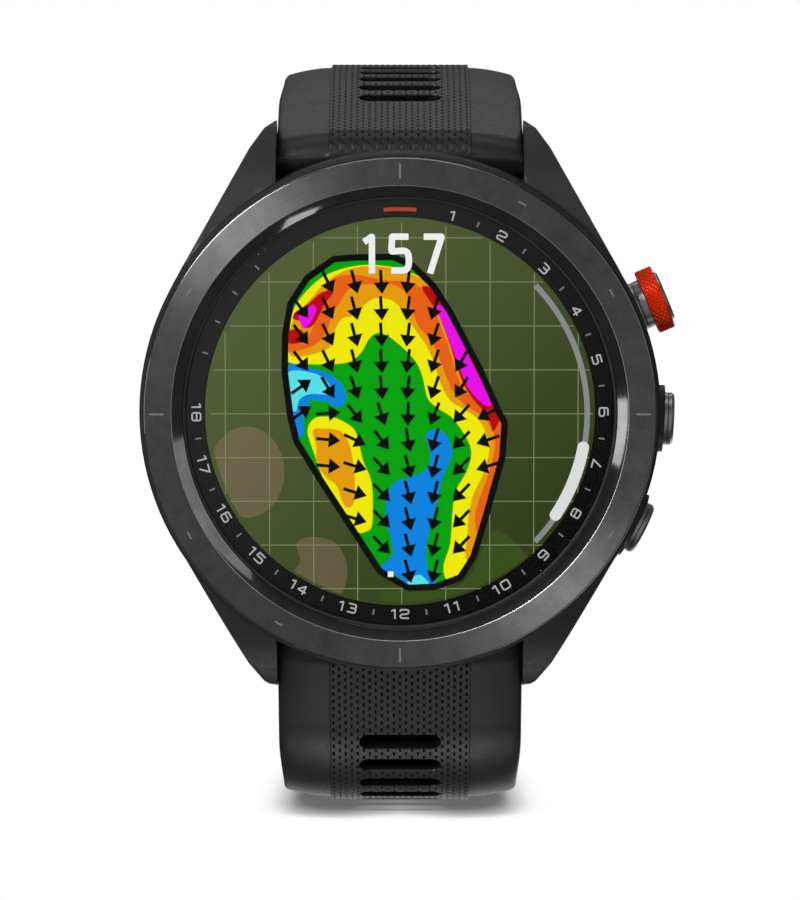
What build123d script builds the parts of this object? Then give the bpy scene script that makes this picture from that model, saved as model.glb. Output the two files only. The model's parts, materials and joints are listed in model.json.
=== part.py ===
"""Golf GPS watch: round cased watch with three side buttons and a two-part silicone strap.

Millimetres. The origin is the centre of the sensor window on the case back.
The dial faces -Y, 12 o'clock is +Z, the buttons are on +X, and the wrist is on +Y.
Heights in the case are measured from the case back towards the dial, along -Y.
"""

import os
from math import cos, radians, sin

from build123d import *

os.makedirs("parts", exist_ok=True)

# Case, bezel and display
case_radius = 23.5
case_height = 13.6
bezel_radius = 23.1
bezel_inner_radius = 20.6
bezel_chamfer_radius = 19.6
bezel_seat = 12.0
glass_radius = 19.3
glass_back = 11.75
glass_front = 12.9
display_radius = 17.6
display_back = 11.3
upper_cavity_radius = 20.85
lower_cavity_radius = 18.8
cavity_step = 8.5
cavity_floor = 3.7
back_ledge = 2.9
back_ledge_radius = 18.3
back_cover_radius = 19.5
back_cover_top = 2.7
lens_radius = 13.0
board_radius = 19.7
board_top = 9.3
pin_pitch = 1.45
vent_offset = 15.5
vent_radius = 1.1
screw_circle = 16.9
screw_radius = 0.7
screw_head_radius = 1.2
port_offset = -16.2
port_size = (6.4, 2.8)
port_corner = 0.6
pin_hole_radius = 0.4
cell_centre = (-1.5, 0)

# Lugs and strap
lug_gap = 22.45
lug_tip = 25.2
bar_height = 4.6
bar_offset = 22.9
bar_radius = 1.0
bar_half_length = 12.6
strap_width = 21.8
end_width = 20.4
running_gap = 0.08
knuckle_clearance = 3.1
slot_length = 7.4
slot_width = 1.6
slot_pitch = 2.6
flex_gap = 0.2
latch_travel = 1.8
pin_radius = 0.9
keeper_wall = 1.3
keeper_length = 4.0
keeper_side_gap = 0.35
hook_outer = 1.88
hook_half_width = 8.5
slider_half_width = 4.5
loop_radius = 2.2
arm_inner = 10.75
arm_outer = 12.4
tongue_half_width = 2.9

# Buttons
button_height = 6.8
button_angles = {"start_button": 22.9, "middle_button": -2.6, "lower_button": -27.0}
stem_radius = 1.0
stem_gap = 0.04
stem_start = 18.2
groove_start = 19.05
groove_width = 0.4
groove_radius = 0.75
clip_radius = 1.6
seal_start = 19.9
seal_width = 0.7
seal_radius = 1.5
spring_start = 21.0
spring_bore_radius = 1.75
guard_reach = 24.0
guard_radius = 3.05
cap_start = 23.15
cap_end = 24.92
cap_radius = 2.4
start_neck = 2.25
ring_start = 24.35
ring_length = 1.6
ring_radius = 3.0
switch_start = 16.3

# Strap routes: each leg is (length, first angle, last angle), turning from straight up to straight back
top_route = [(7.0, 68.0, 68.0), (14.0, 68.0, 88.0), (40.0, 88.0, 170.0)]
bottom_route = [(7.0, 22.0, 22.0), (13.0, 22.0, 82.0), (41.0, 82.0, 136.0), (52.0, 136.0, 172.0)]
top_flex, top_length = 21.5, 61.0
bottom_flex, bottom_length = 27.0, 113.0
half_thickness = [(0.0, 2.5), (7.0, 2.0), (22.0, 1.7), (61.0, 1.45), (200.0, 1.4)]


def save(piece, name):
    """Label a finished piece and write it."""
    piece.part.label = name
    export_step(piece.part, f"parts/{name}.step")


def dial_plane(height):
    """A plane across the case, facing the viewer, with X to the right and Z up."""
    return Plane(origin=(0, -height, 0), x_dir=(1, 0, 0), z_dir=(0, -1, 0))


def radial_plane(angle, radius, height=button_height):
    """A plane that faces outwards from the case side, at an angle above 3 o'clock."""
    out = (cos(radians(angle)), 0, sin(radians(angle)))
    return Plane(origin=(radius * out[0], -height, radius * out[2]), x_dir=(0, -1, 0), z_dir=out)


def disc(low, high, outer, inner=0.0, mode=Mode.ADD):
    """A disc or ring between two heights in the case."""
    with BuildSketch(dial_plane(low)) as outline:
        Circle(outer)
        if inner:
            Circle(inner, mode=Mode.SUBTRACT)
    extrude(outline.sketch, amount=high - low, mode=mode)


def turned(points):
    """A body turned about the case axis, from an outline of (radius, height) points on its left."""
    with BuildSketch(Plane.XY) as outline:
        with BuildLine():
            Polyline(*[(-radius, -height) for radius, height in points], close=True)
        make_face()
    revolve(outline.sketch, axis=Axis.Y)


def peg(plane, length, radius, inner=0.0, mode=Mode.ADD):
    """A round peg or tube that stands on a plane."""
    with BuildSketch(plane) as outline:
        Circle(radius)
        if inner:
            Circle(inner, mode=Mode.SUBTRACT)
    extrude(outline.sketch, amount=length, mode=mode)


def coil_spring(plane, length, radius, wire, turns):
    """A compression spring along a plane's normal, with its ends inside the length."""
    height = length - 2 * wire
    with BuildLine() as path:
        Helix(height / turns, height, radius, center=plane.offset(wire).origin, direction=plane.z_dir)
    with BuildSketch(Plane(origin=path.line @ 0, z_dir=path.line % 0)) as section:
        Circle(wire / 2)
    sweep(section.sketch, path=path.line, is_frenet=True)


def half(distance):
    """Half the strap's thickness at a distance from the lug bar."""
    for (a, thick_a), (b, thick_b) in zip(half_thickness, half_thickness[1:]):
        if distance <= b:
            return thick_a + (thick_b - thick_a) * max(distance - a, 0) / (b - a)


def station(side, route, distance):
    """The strap centreline's Y and Z, and its angle, at a distance from the lug bar."""
    y, z = -bar_height, bar_offset
    for length, first, last in route:
        run = min(distance, length)
        a, b = radians(first), radians(first + (last - first) * run / length)
        if first == last:
            y, z = y + run * sin(a), z + run * cos(a)
        elif run > 0:
            bend = length / radians(last - first)
            y, z = y + bend * (cos(a) - cos(b)), z + bend * (sin(b) - sin(a))
        distance -= run
        if distance <= 0:
            break
    return y + distance * sin(b), side * (z + distance * cos(b)), b


def skin(side, route, distance, offset):
    """A point at an offset outwards from the strap's centreline, in Y and Z."""
    y, z, angle = station(side, route, distance)
    return y - offset * cos(angle), z + side * offset * sin(angle)


def strap_plane(side, route, distance, x=0.0):
    """A plane along the strap: its X runs down the strap, its Y points outwards."""
    y, z, angle = station(side, route, distance)
    return Plane(origin=(x, y, z), x_dir=(0, sin(angle), side * cos(angle)), z_dir=(side, 0, 0))


def outer_plane(side, route, distance, x=0.0):
    """A plane through the strap's centreline that faces outwards, with X across the strap."""
    y, z, angle = station(side, route, distance)
    return Plane(origin=(x, y, z), x_dir=(1, 0, 0), z_dir=(0, -cos(angle), side * sin(angle)))


def bend_through(a, middle, b):
    """An arc through three points, or a line where they lie in line."""
    across = (middle[0] - a[0]) * (b[1] - a[1]) - (middle[1] - a[1]) * (b[0] - a[0])
    if abs(across) < 1e-6:
        Line(a, b)
    else:
        ThreePointArc(a, middle, b)


def ribbon(side, route, start, stop, width, round_stop, mode=Mode.ADD):
    """The strap from one distance to another, with a rounded start."""
    reach, joints = 0.0, []
    for length, _, _ in route:
        reach += length
        joints.append(reach)
    ends = [start] + [joint for joint in joints if start < joint < stop] + [stop]
    with BuildSketch(Plane.YZ) as outline:
        with BuildLine():
            for a, b in zip(ends, ends[1:]):
                for way in (1, -1):
                    bend_through(*[skin(side, route, s, way * half(s)) for s in (a, (a + b) / 2, b)])
            for place, rounded, way in ((start, True, -1), (stop, round_stop, 1)):
                top, low = (skin(side, route, place, offset * half(place)) for offset in (1, -1))
                if rounded:
                    y, z, angle = station(side, route, place)
                    tip = (y + way * half(place) * sin(angle), z + way * side * half(place) * cos(angle))
                    ThreePointArc(top, tip, low)
                else:
                    Line(top, low)
        make_face()
    extrude(outline.sketch, amount=width / 2, both=True, mode=mode)


# ---------------------------------------------------------------- bezel, glass and display

with BuildPart() as bezel_ring:
    turned(
        [
            (bezel_chamfer_radius, 11.0),
            (upper_cavity_radius - 0.1, 11.0),
            (upper_cavity_radius - 0.1, bezel_seat),
            (bezel_radius, bezel_seat),
            (bezel_radius, case_height - 0.25),
            (bezel_radius - 0.2, case_height),
            (bezel_inner_radius, case_height),
            (bezel_chamfer_radius, glass_front - 0.05),
        ]
    )
save(bezel_ring, "bezel_ring")

with BuildPart() as front_glass:
    disc(glass_back, glass_front, glass_radius)
    chamfer(front_glass.faces().sort_by(Axis.Y)[0].edges(), 0.15)
save(front_glass, "front_glass")

with BuildPart() as glass_gasket:
    disc(glass_back, glass_front - 0.15, bezel_chamfer_radius, glass_radius)
save(glass_gasket, "glass_gasket")

with BuildPart() as number_ring:
    disc(display_back, glass_back, glass_radius, display_radius + 0.05)
save(number_ring, "number_ring")

with BuildPart() as display_panel:
    disc(display_back, glass_back - 0.05, display_radius)
save(display_panel, "display_panel")

with BuildPart() as display_frame:
    disc(10.25, display_back, 19.0)
    disc(10.25, 10.6, 12.0, mode=Mode.SUBTRACT)
save(display_frame, "display_frame")

with BuildPart() as display_cable:
    with BuildSketch(dial_plane(board_top)):
        with Locations((0, -17.2)):
            Rectangle(6.0, 0.6)
    extrude(amount=10.25 - board_top)
save(display_cable, "display_cable")

# ---------------------------------------------------------------- case shell with its lugs

with BuildPart() as lugs:
    with BuildSketch(dial_plane(1.9)):
        with BuildLine():
            Polyline(
                (lug_gap / 2, 15.0),
                (lug_gap / 2, lug_tip + 0.8),
                (12.4, lug_tip),
                (13.8, lug_tip - 1.9),
                (20.1, 12.2),
                (18.2, 7.5),
                close=True,
            )
        make_face()
        mirror(about=Plane.XZ)
        mirror(about=Plane.YZ)
    extrude(amount=10.0)
    with BuildSketch(Plane.YZ):
        with BuildLine():
            crown = Spline((-7.0, bar_offset + 2.6), (-9.4, 22.4), (-10.9, 18.0), (-11.9, 7.0))
            below = Polyline(crown @ 1, (-1.9, 7.0), (-1.9, bar_offset - 0.4))
            nose = ThreePointArc(
                below @ 1,
                (0.71 * 2.9 - bar_height, bar_offset + 0.71 * knuckle_clearance),
                (-bar_height, bar_offset + knuckle_clearance),
            )
            Line(nose @ 1, crown @ 0)
        make_face()
        mirror(about=Plane.XZ)
    extrude(amount=25.0, both=True, mode=Mode.INTERSECT)

with BuildPart() as case_shell:
    turned(
        [
            (back_cover_radius + 0.1, 1.6),
            (21.6, 1.6),
            (case_radius, 4.0),
            (case_radius, 12.5),
            (case_radius - 0.2, 12.7),
            (bezel_radius + 0.05, 12.7),
            (bezel_radius + 0.05, bezel_seat),
            (upper_cavity_radius, bezel_seat),
            (upper_cavity_radius, cavity_step),
            (lower_cavity_radius, cavity_step),
            (lower_cavity_radius, cavity_floor),
            (back_ledge_radius, cavity_floor),
            (back_ledge_radius, back_ledge),
            (back_cover_radius + 0.1, back_ledge),
        ]
    )
    add(lugs.part)
    disc(cavity_step, case_height, upper_cavity_radius, mode=Mode.SUBTRACT)
    disc(cavity_floor, cavity_step, lower_cavity_radius, mode=Mode.SUBTRACT)
    disc(0, back_ledge, back_cover_radius + 0.1, mode=Mode.SUBTRACT)
    # Round pockets that the strap ends turn in, open towards the wrist and outwards
    with BuildSketch(Plane.YZ):
        for side in (1, -1):
            with Locations((-bar_height, side * bar_offset)):
                Circle(knuckle_clearance)
            with Locations((-0.8, side * (bar_offset - knuckle_clearance + 6))):
                Rectangle(2 * (bar_height - 0.8), 12.0)
            with Locations((-2.35, side * (bar_offset + 6))):
                Rectangle(2 * (bar_height + knuckle_clearance - 2.35), 12.0)
    extrude(amount=lug_gap / 2, both=True, mode=Mode.SUBTRACT)
    # Blind holes for the lug bars
    for side in (1, -1):
        bar_seat = Plane(origin=(-bar_half_length, -bar_height, side * bar_offset), z_dir=(1, 0, 0))
        peg(bar_seat, 2 * bar_half_length, bar_radius, mode=Mode.SUBTRACT)
    # Button guards, then the stepped bores behind every button
    for name, angle in button_angles.items():
        if name != "start_button":
            peg(radial_plane(angle, 21.5), guard_reach - 21.5, guard_radius)
    for name, angle in button_angles.items():
        pocket_radius = (start_neck + 0.15) if name == "start_button" else (cap_radius + 0.12)
        peg(radial_plane(angle, 22.4), 3.0, pocket_radius, mode=Mode.SUBTRACT)
        peg(radial_plane(angle, spring_start), 3.0, spring_bore_radius, mode=Mode.SUBTRACT)
        peg(radial_plane(angle, 18.0), 4.0, stem_radius + stem_gap, mode=Mode.SUBTRACT)
        peg(radial_plane(angle, seal_start), seal_width, seal_radius, mode=Mode.SUBTRACT)
        peg(radial_plane(angle, 18.0), 1.5, spring_bore_radius, mode=Mode.SUBTRACT)
    # Bosses for the back cover screws
    with BuildSketch(dial_plane(back_ledge)):
        with PolarLocations(screw_circle, 4, start_angle=45):
            Circle(screw_radius + 1.0)
            Circle(screw_radius, mode=Mode.SUBTRACT)
    extrude(amount=1.1)
save(case_shell, "case_shell")

with BuildPart() as pressure_vent:
    peg(dial_plane(1.3).move(Location((0, vent_offset, 0))), 0.4, vent_radius)
save(pressure_vent, "pressure_vent")

for side, name in ((1, "lug_bar_top"), (-1, "lug_bar_bottom")):
    with BuildPart() as lug_bar:
        bar_seat = Plane(origin=(-bar_half_length, -bar_height, side * bar_offset), z_dir=(1, 0, 0))
        peg(bar_seat, 2 * bar_half_length, bar_radius)
        chamfer(lug_bar.edges().filter_by(GeomType.CIRCLE), 0.2)
    save(lug_bar, name)

# ---------------------------------------------------------------- inside the case

with BuildPart() as antenna_ring:
    disc(board_top + 0.1, 10.9, 20.6, 19.5)
save(antenna_ring, "antenna_ring")

with BuildPart() as main_board:
    disc(cavity_step, board_top, board_radius)
save(main_board, "main_board")

with BuildPart() as board_chips:
    for place, size, tall in (
        ((-10, 8), (7, 7), 0.7),
        ((-10, -6), (4, 5), 0.6),
        ((0, -12), (5, 3), 0.6),
        ((9, -9), (3, 3), 0.5),
    ):
        with BuildSketch(dial_plane(board_top)):
            with Locations(place):
                Rectangle(*size)
        extrude(amount=tall)
save(board_chips, "board_chips")

with BuildPart() as shield_can:
    with BuildSketch(dial_plane(board_top)):
        with Locations((6, 5)):
            RectangleRounded(13.0, 11.0, 1.0)
    extrude(amount=0.85)
    with BuildSketch(dial_plane(board_top)):
        with Locations((6, 5)):
            RectangleRounded(12.5, 10.5, 0.75)
    extrude(amount=0.65, mode=Mode.SUBTRACT)
save(shield_can, "shield_can")

with BuildPart() as battery_tray:
    disc(4.1, 4.6, 18.2)
    with BuildSketch(dial_plane(4.6)):
        with Locations(cell_centre):
            RectangleRounded(22.8, 26.8, 3.0)
            RectangleRounded(21.2, 25.2, 2.2, mode=Mode.SUBTRACT)
    extrude(amount=1.0)
save(battery_tray, "battery_tray")

with BuildPart() as battery_cell:
    with BuildSketch(dial_plane(4.6)):
        with Locations(cell_centre):
            RectangleRounded(21.0, 25.0, 2.1)
    extrude(amount=3.5)
save(battery_cell, "battery_cell")

motor_plane = Plane(origin=(-14.9, -6.5, -7.0), z_dir=(0, 0, 1))
with BuildPart() as vibration_motor:
    peg(motor_plane, 9.0, 1.8)
    peg(motor_plane.offset(1.0), 8.0, 0.44, mode=Mode.SUBTRACT)
save(vibration_motor, "vibration_motor")

with BuildPart() as vibration_weight:
    peg(motor_plane.offset(1.5), 11.0, 0.4)
    with BuildSketch(motor_plane.offset(9.6)):
        Circle(1.6)
        with Locations((0, -1.2)):
            Rectangle(4.0, 1.6, mode=Mode.SUBTRACT)
    extrude(amount=2.8)
save(vibration_weight, "vibration_weight")

with BuildPart() as beeper_disc:
    with BuildSketch(dial_plane(5.8)):
        with Locations((0, 15.9)):
            Circle(2.4)
    extrude(amount=2.4)
save(beeper_disc, "beeper_disc")

with BuildPart() as switch_modules:
    for angle in button_angles.values():
        with BuildSketch(radial_plane(angle, switch_start)):
            Rectangle(2.4, 3.0)
        extrude(amount=0.9)
        peg(radial_plane(angle, switch_start + 0.9), 0.3, 0.8)
save(switch_modules, "switch_modules")

with BuildPart() as button_seals:
    for angle in button_angles.values():
        peg(radial_plane(angle, seal_start), seal_width, seal_radius, stem_radius + 0.02)
save(button_seals, "button_seals")

# ---------------------------------------------------------------- case back

with BuildPart() as back_cover:
    turned(
        [
            (lens_radius, 1.2),
            (17.8, 1.2),
            (back_cover_radius, 1.8),
            (back_cover_radius, back_cover_top),
            (lens_radius, back_cover_top),
        ]
    )
    with BuildSketch(dial_plane(1.0)):
        with PolarLocations(screw_circle, 4, start_angle=45):
            Circle(screw_head_radius + 0.1)
    extrude(amount=0.95, mode=Mode.SUBTRACT)
    with BuildSketch(dial_plane(1.0)):
        with PolarLocations(screw_circle, 4, start_angle=45):
            Circle(screw_radius + 0.1)
        with Locations((0, port_offset)):
            RectangleRounded(*port_size, port_corner)
    extrude(amount=2.0, mode=Mode.SUBTRACT)
    # Recess for the pressure vent
    peg(dial_plane(1.0).move(Location((0, vent_offset, 0))), 0.7, vent_radius, mode=Mode.SUBTRACT)
save(back_cover, "back_cover")

with BuildPart() as back_seal:
    disc(back_cover_top, back_ledge, 19.3, 18.7)
save(back_seal, "back_seal")

with BuildPart() as back_cover_screws:
    with BuildSketch(dial_plane(1.3)):
        with PolarLocations(screw_circle, 4, start_angle=45):
            Circle(screw_head_radius)
            RegularPolygon(0.55, 6, mode=Mode.SUBTRACT)
    extrude(amount=0.35)
    with BuildSketch(dial_plane(1.65)):
        with PolarLocations(screw_circle, 4, start_angle=45):
            Circle(screw_head_radius)
    extrude(amount=0.3)
    with BuildSketch(dial_plane(1.95)):
        with PolarLocations(screw_circle, 4, start_angle=45):
            Circle(screw_radius)
    extrude(amount=1.95)
save(back_cover_screws, "back_cover_screws")

with BuildPart() as sensor_lens:
    with BuildSketch(Plane.XY):
        with BuildLine():
            rim = Polyline(
                (lens_radius, -1.3),
                (lens_radius, -2.3),
                (11.5, -2.3),
                (11.5, -1.5),
                (0, -1.5),
                (0, 0),
                (6.0, 0),
            )
            ThreePointArc(rim @ 1, (9.6, -0.33), rim @ 0)
        make_face()
    revolve(axis=Axis.Y)
save(sensor_lens, "sensor_lens")

with BuildPart() as sensor_board:
    disc(2.2, 2.8, 11.3)
save(sensor_board, "sensor_board")

with BuildPart() as sensor_leds:
    with BuildSketch(dial_plane(1.6)):
        RectangleRounded(3.4, 3.4, 0.4)
        with PolarLocations(6.2, 6):
            RectangleRounded(2.2, 2.2, 0.3)
    extrude(amount=0.6)
save(sensor_leds, "sensor_leds")

with BuildPart() as charge_port_block:
    with BuildSketch(dial_plane(1.35)):
        with Locations((0, port_offset)):
            RectangleRounded(*port_size, port_corner)
            with GridLocations(pin_pitch, 0, 4, 1):
                Circle(pin_hole_radius, mode=Mode.SUBTRACT)
    extrude(amount=back_cover_top - 1.35)
save(charge_port_block, "charge_port_block")

with BuildPart() as charge_pins:
    with BuildSketch(dial_plane(1.45)):
        with Locations((0, port_offset)):
            with GridLocations(pin_pitch, 0, 4, 1):
                Circle(pin_hole_radius)
    extrude(amount=1.7)
save(charge_pins, "charge_pins")

# ---------------------------------------------------------------- buttons

for name, angle in button_angles.items():
    with BuildPart() as button:
        peg(radial_plane(angle, stem_start), cap_start - stem_start + 0.25, stem_radius)
        if name == "start_button":
            peg(radial_plane(angle, 23.1), ring_start + ring_length - 22.95, start_neck)
            with BuildSketch(radial_plane(angle, ring_start + ring_length)):
                Circle(start_neck + 0.1)
            extrude(amount=0.3, taper=25)
        else:
            peg(radial_plane(angle, cap_start), cap_end - cap_start, cap_radius)
            outwards = Axis(origin=(0, 0, 0), direction=radial_plane(angle, 0).z_dir)
            chamfer(button.faces().sort_by(outwards)[-1].edges(), 0.3)
        # Groove for the retaining clip
        peg(radial_plane(angle, groove_start), groove_width, 2.0, groove_radius, mode=Mode.SUBTRACT)
    save(button, name)

    with BuildPart() as clip:
        peg(radial_plane(angle, groove_start), groove_width, clip_radius, groove_radius)
    save(clip, f"{name}_clip")

    with BuildPart() as spring:
        coil_spring(radial_plane(angle, spring_start), 2.1, 1.38, 0.3, 3)
    save(spring, f"{name}_spring")

with BuildPart() as start_button_ring:
    peg(radial_plane(button_angles["start_button"], ring_start), ring_length, ring_radius, start_neck)
    round_faces = start_button_ring.faces().filter_by(GeomType.CYLINDER)
    chamfer(round_faces.sort_by(SortBy.RADIUS)[-1].edges(), 0.2)
save(start_button_ring, "start_button_ring")

# ---------------------------------------------------------------- strap: hooks, latches and rubber

slots_top = [8.0 + slot_pitch * count for count in range(5)]
slots_bottom = [8.4 + slot_pitch * count for count in range(7)]
tail_slots = [52.0 + 6.5 * count for count in range(8)]

for side, route, flex, word, slots in (
    (1, top_route, top_flex, "top", slots_top),
    (-1, bottom_route, bottom_flex, "bottom", slots_bottom),
):
    at_bar = strap_plane(side, route, 0.0)

    with BuildPart() as hook_plate:
        with BuildSketch(at_bar):
            Circle(hook_outer)
            with Locations((3.6, 0.75)):
                Rectangle(5.2, 0.8)
            Circle(bar_radius + running_gap, mode=Mode.SUBTRACT)
            with Locations((0, -1.5)):
                Rectangle(2 * (bar_radius + running_gap), 3.0, mode=Mode.SUBTRACT)
            with Locations((0, -1.95)):
                Rectangle(6.0, 2.0, mode=Mode.SUBTRACT)
        extrude(amount=hook_half_width, both=True)
    save(hook_plate, f"{word}_hook_plate")

    with BuildPart() as latch_slider:
        with BuildSketch(at_bar):
            with Locations((1.85, -1.375)):
                Rectangle(3.5, 0.45)
        extrude(amount=slider_half_width, both=True)
        with BuildSketch(at_bar):
            with Locations((2.1, -1.8)):
                Rectangle(3.0, 0.4)
        extrude(amount=slider_half_width - 0.9, both=True)
        with BuildSketch(at_bar):
            with Locations((2.3, -2.35)):
                Rectangle(1.8, 0.7)
        extrude(amount=2.8, both=True)
    save(latch_slider, f"{word}_latch_slider")

    with BuildPart() as latch_springs:
        for x in (-3.0, 3.0):
            near_spring = strap_plane(side, route, 3.65, x)
            start = near_spring.from_local_coords((0, -1.375, 0))
            coil_spring(Plane(origin=start, z_dir=near_spring.x_dir), 2.85, 0.22, 0.12, 5)
    save(latch_springs, f"{word}_latch_springs")

    with BuildPart() as strap_root:
        ribbon(side, route, 0.0, flex - 0.9, strap_width, False)
        # Room for the lug bar, open towards the wrist
        with BuildSketch(at_bar):
            Circle(bar_radius + 0.15)
            with Locations((0, -2.0)):
                Rectangle(2 * (bar_radius + 0.15), 4.0)
        extrude(amount=strap_width, both=True, mode=Mode.SUBTRACT)
        # The moulded-in hook plate
        with BuildSketch(at_bar):
            Circle(hook_outer)
            with Locations((3.6, 0.75)):
                Rectangle(5.2, 0.8)
        extrude(amount=hook_half_width, both=True, mode=Mode.SUBTRACT)
        # The latch slider's pocket and window
        with BuildSketch(at_bar):
            with Locations((1.75, -1.375)):
                Rectangle(9.7, 0.65)
        extrude(amount=slider_half_width + 0.15, both=True, mode=Mode.SUBTRACT)
        with BuildSketch(at_bar):
            with Locations((0.8, -2.6)):
                Rectangle(9.6, 2.0)
        extrude(amount=slider_half_width - 0.75, both=True, mode=Mode.SUBTRACT)
        # Cross slots
        for distance in slots:
            with BuildSketch(outer_plane(side, route, distance)):
                SlotOverall(slot_length, slot_width)
            extrude(amount=4.0, both=True, mode=Mode.SUBTRACT)
        # Socket for the flexing part of the strap
        with BuildSketch(strap_plane(side, route, flex)):
            Circle(half(flex) + flex_gap)
        extrude(amount=strap_width, both=True, mode=Mode.SUBTRACT)
    save(strap_root, f"strap_{word}_root")

with BuildPart() as strap_tail:
    ribbon(-1, bottom_route, bottom_flex, bottom_length, end_width, True)
    for distance in tail_slots:
        with BuildSketch(outer_plane(-1, bottom_route, distance)):
            SlotOverall(slot_length, slot_width + 0.2)
        extrude(amount=4.0, both=True, mode=Mode.SUBTRACT)
save(strap_tail, "strap_tail")

# ---------------------------------------------------------------- strap end, keepers and buckle

pin_distance = top_length + 1.2
at_pin = strap_plane(1, top_route, pin_distance)

with BuildPart() as strap_top_end:
    ribbon(1, top_route, top_flex, top_length, end_width, False)
    with BuildSketch(at_pin):
        Circle(loop_radius)
    extrude(amount=end_width / 2, both=True)
    with BuildSketch(at_pin):
        Circle(pin_radius)
    extrude(amount=end_width, both=True, mode=Mode.SUBTRACT)
    # Gap for the buckle tongue
    with BuildSketch(at_pin):
        with Locations((0.6, 0)):
            Rectangle(7.2, 8.0)
    extrude(amount=tongue_half_width + 0.5, both=True, mode=Mode.SUBTRACT)
save(strap_top_end, "strap_top_end")

with BuildPart() as buckle_pin:
    with BuildSketch(at_pin):
        Circle(pin_radius)
    extrude(amount=12.1, both=True)
save(buckle_pin, "buckle_pin")

with BuildPart() as buckle_frame:
    with BuildSketch(at_pin):
        Circle(1.7)
        with Locations((6.8, -0.25)):
            Rectangle(13.6, 2.5)
    extrude(amount=arm_outer, both=True)
    far_corners = buckle_frame.edges().filter_by(Axis(origin=(0, 0, 0), direction=at_pin.y_dir))
    fillet(far_corners.sort_by(Axis(origin=(0, 0, 0), direction=at_pin.x_dir))[-2:], 2.4)
    with BuildSketch(at_pin):
        with Locations((4.8, 0)):
            Rectangle(14.0, 8.0)
    extrude(amount=arm_inner, both=True, mode=Mode.SUBTRACT)
    with BuildSketch(at_pin):
        with Locations((11.8, 1.3)):
            Rectangle(4.0, 2.0)
    extrude(amount=arm_inner, both=True, mode=Mode.SUBTRACT)
    with BuildSketch(at_pin):
        Circle(pin_radius + 0.06)
    extrude(amount=2 * arm_outer, both=True, mode=Mode.SUBTRACT)
save(buckle_frame, "buckle_frame")

with BuildPart() as buckle_tongue:
    with BuildSketch(at_pin):
        Circle(1.6)
        with Locations((6.6, 0.85)):
            Rectangle(13.2, 0.9)
        Circle(pin_radius + 0.06, mode=Mode.SUBTRACT)
    extrude(amount=tongue_half_width, both=True)
save(buckle_tongue, "buckle_tongue")

for name, distance, opening, low in (
    ("fixed_keeper", 56.0, 6.2, -1.47),
    ("free_keeper", 46.0, 6.8, -1.95),
):
    with BuildPart() as keeper:
        across = strap_plane(1, top_route, distance)
        with BuildSketch(across):
            with Locations((0, low + opening / 2)):
                Rectangle(keeper_length, opening + 2 * keeper_wall)
        extrude(amount=end_width / 2 + keeper_side_gap + keeper_wall, both=True)
        fillet(keeper.edges().filter_by(Axis(origin=(0, 0, 0), direction=across.x_dir)), 1.0)
        with BuildSketch(across):
            with Locations((0, low + opening / 2)):
                Rectangle(keeper_length + 2.0, opening)
        extrude(amount=end_width / 2 + keeper_side_gap, both=True, mode=Mode.SUBTRACT)
        if name == "fixed_keeper":
            ribbon(1, top_route, 50.0, 60.0, end_width, False, mode=Mode.SUBTRACT)
    save(keeper, name)
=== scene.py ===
"""Looks of the golf GPS watch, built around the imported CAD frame.

Outlines are in millimetres and are scaled to metres as each mesh is made.
Dial points are (across, up, height): height is measured from the case back towards the viewer, along -Y.
"""

import json
from math import ceil, cos, pi, radians, sin, tan

import bmesh
import bpy
from mathutils import Matrix, Vector


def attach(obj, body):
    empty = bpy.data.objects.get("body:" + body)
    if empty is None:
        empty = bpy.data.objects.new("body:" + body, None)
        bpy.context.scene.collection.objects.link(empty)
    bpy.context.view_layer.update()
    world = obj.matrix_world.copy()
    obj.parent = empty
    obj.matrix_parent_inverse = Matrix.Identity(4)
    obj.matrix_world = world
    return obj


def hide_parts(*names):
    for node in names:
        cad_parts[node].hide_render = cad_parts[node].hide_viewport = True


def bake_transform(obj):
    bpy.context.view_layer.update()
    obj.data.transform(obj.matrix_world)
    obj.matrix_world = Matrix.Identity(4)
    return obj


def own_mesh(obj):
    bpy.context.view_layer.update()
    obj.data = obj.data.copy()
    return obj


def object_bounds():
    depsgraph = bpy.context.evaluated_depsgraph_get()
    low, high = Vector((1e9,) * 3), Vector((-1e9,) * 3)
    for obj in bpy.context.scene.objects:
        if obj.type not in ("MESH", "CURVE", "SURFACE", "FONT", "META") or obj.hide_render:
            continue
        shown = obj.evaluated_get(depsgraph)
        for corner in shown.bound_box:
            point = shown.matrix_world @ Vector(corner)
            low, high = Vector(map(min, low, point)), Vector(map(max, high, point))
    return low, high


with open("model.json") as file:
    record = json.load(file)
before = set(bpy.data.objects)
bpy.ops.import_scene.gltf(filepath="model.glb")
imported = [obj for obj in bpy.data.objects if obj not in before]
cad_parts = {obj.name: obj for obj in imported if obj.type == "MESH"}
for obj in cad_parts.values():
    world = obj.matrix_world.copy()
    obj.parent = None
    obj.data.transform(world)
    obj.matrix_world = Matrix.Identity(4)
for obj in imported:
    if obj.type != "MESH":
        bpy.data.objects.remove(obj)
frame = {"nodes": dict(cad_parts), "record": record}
bounds_at_load = [list(corner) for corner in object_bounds()]

MM = 0.001
DIAL = Matrix(((1, 0, 0, 0), (0, 0, -1, 0), (0, 1, 0, 0), (0, 0, 0, 1)))

# Case, bezel and display
bezel_radius = 23.1
bezel_top = 13.58
bezel_inner = 20.6
chamfer_inner = 19.6
chamfer_low = 12.85
glass_radius = 19.25
glass_low, glass_high = 11.8, 12.9
print_outer, print_inner = 19.28, 17.66
print_top = 11.75
screen_radius = 17.6
screen_top = 11.7
screen_shift = (0.15, -0.15)
grid_pitch, grid_line = 3.98, 0.085
film = 0.004

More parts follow.
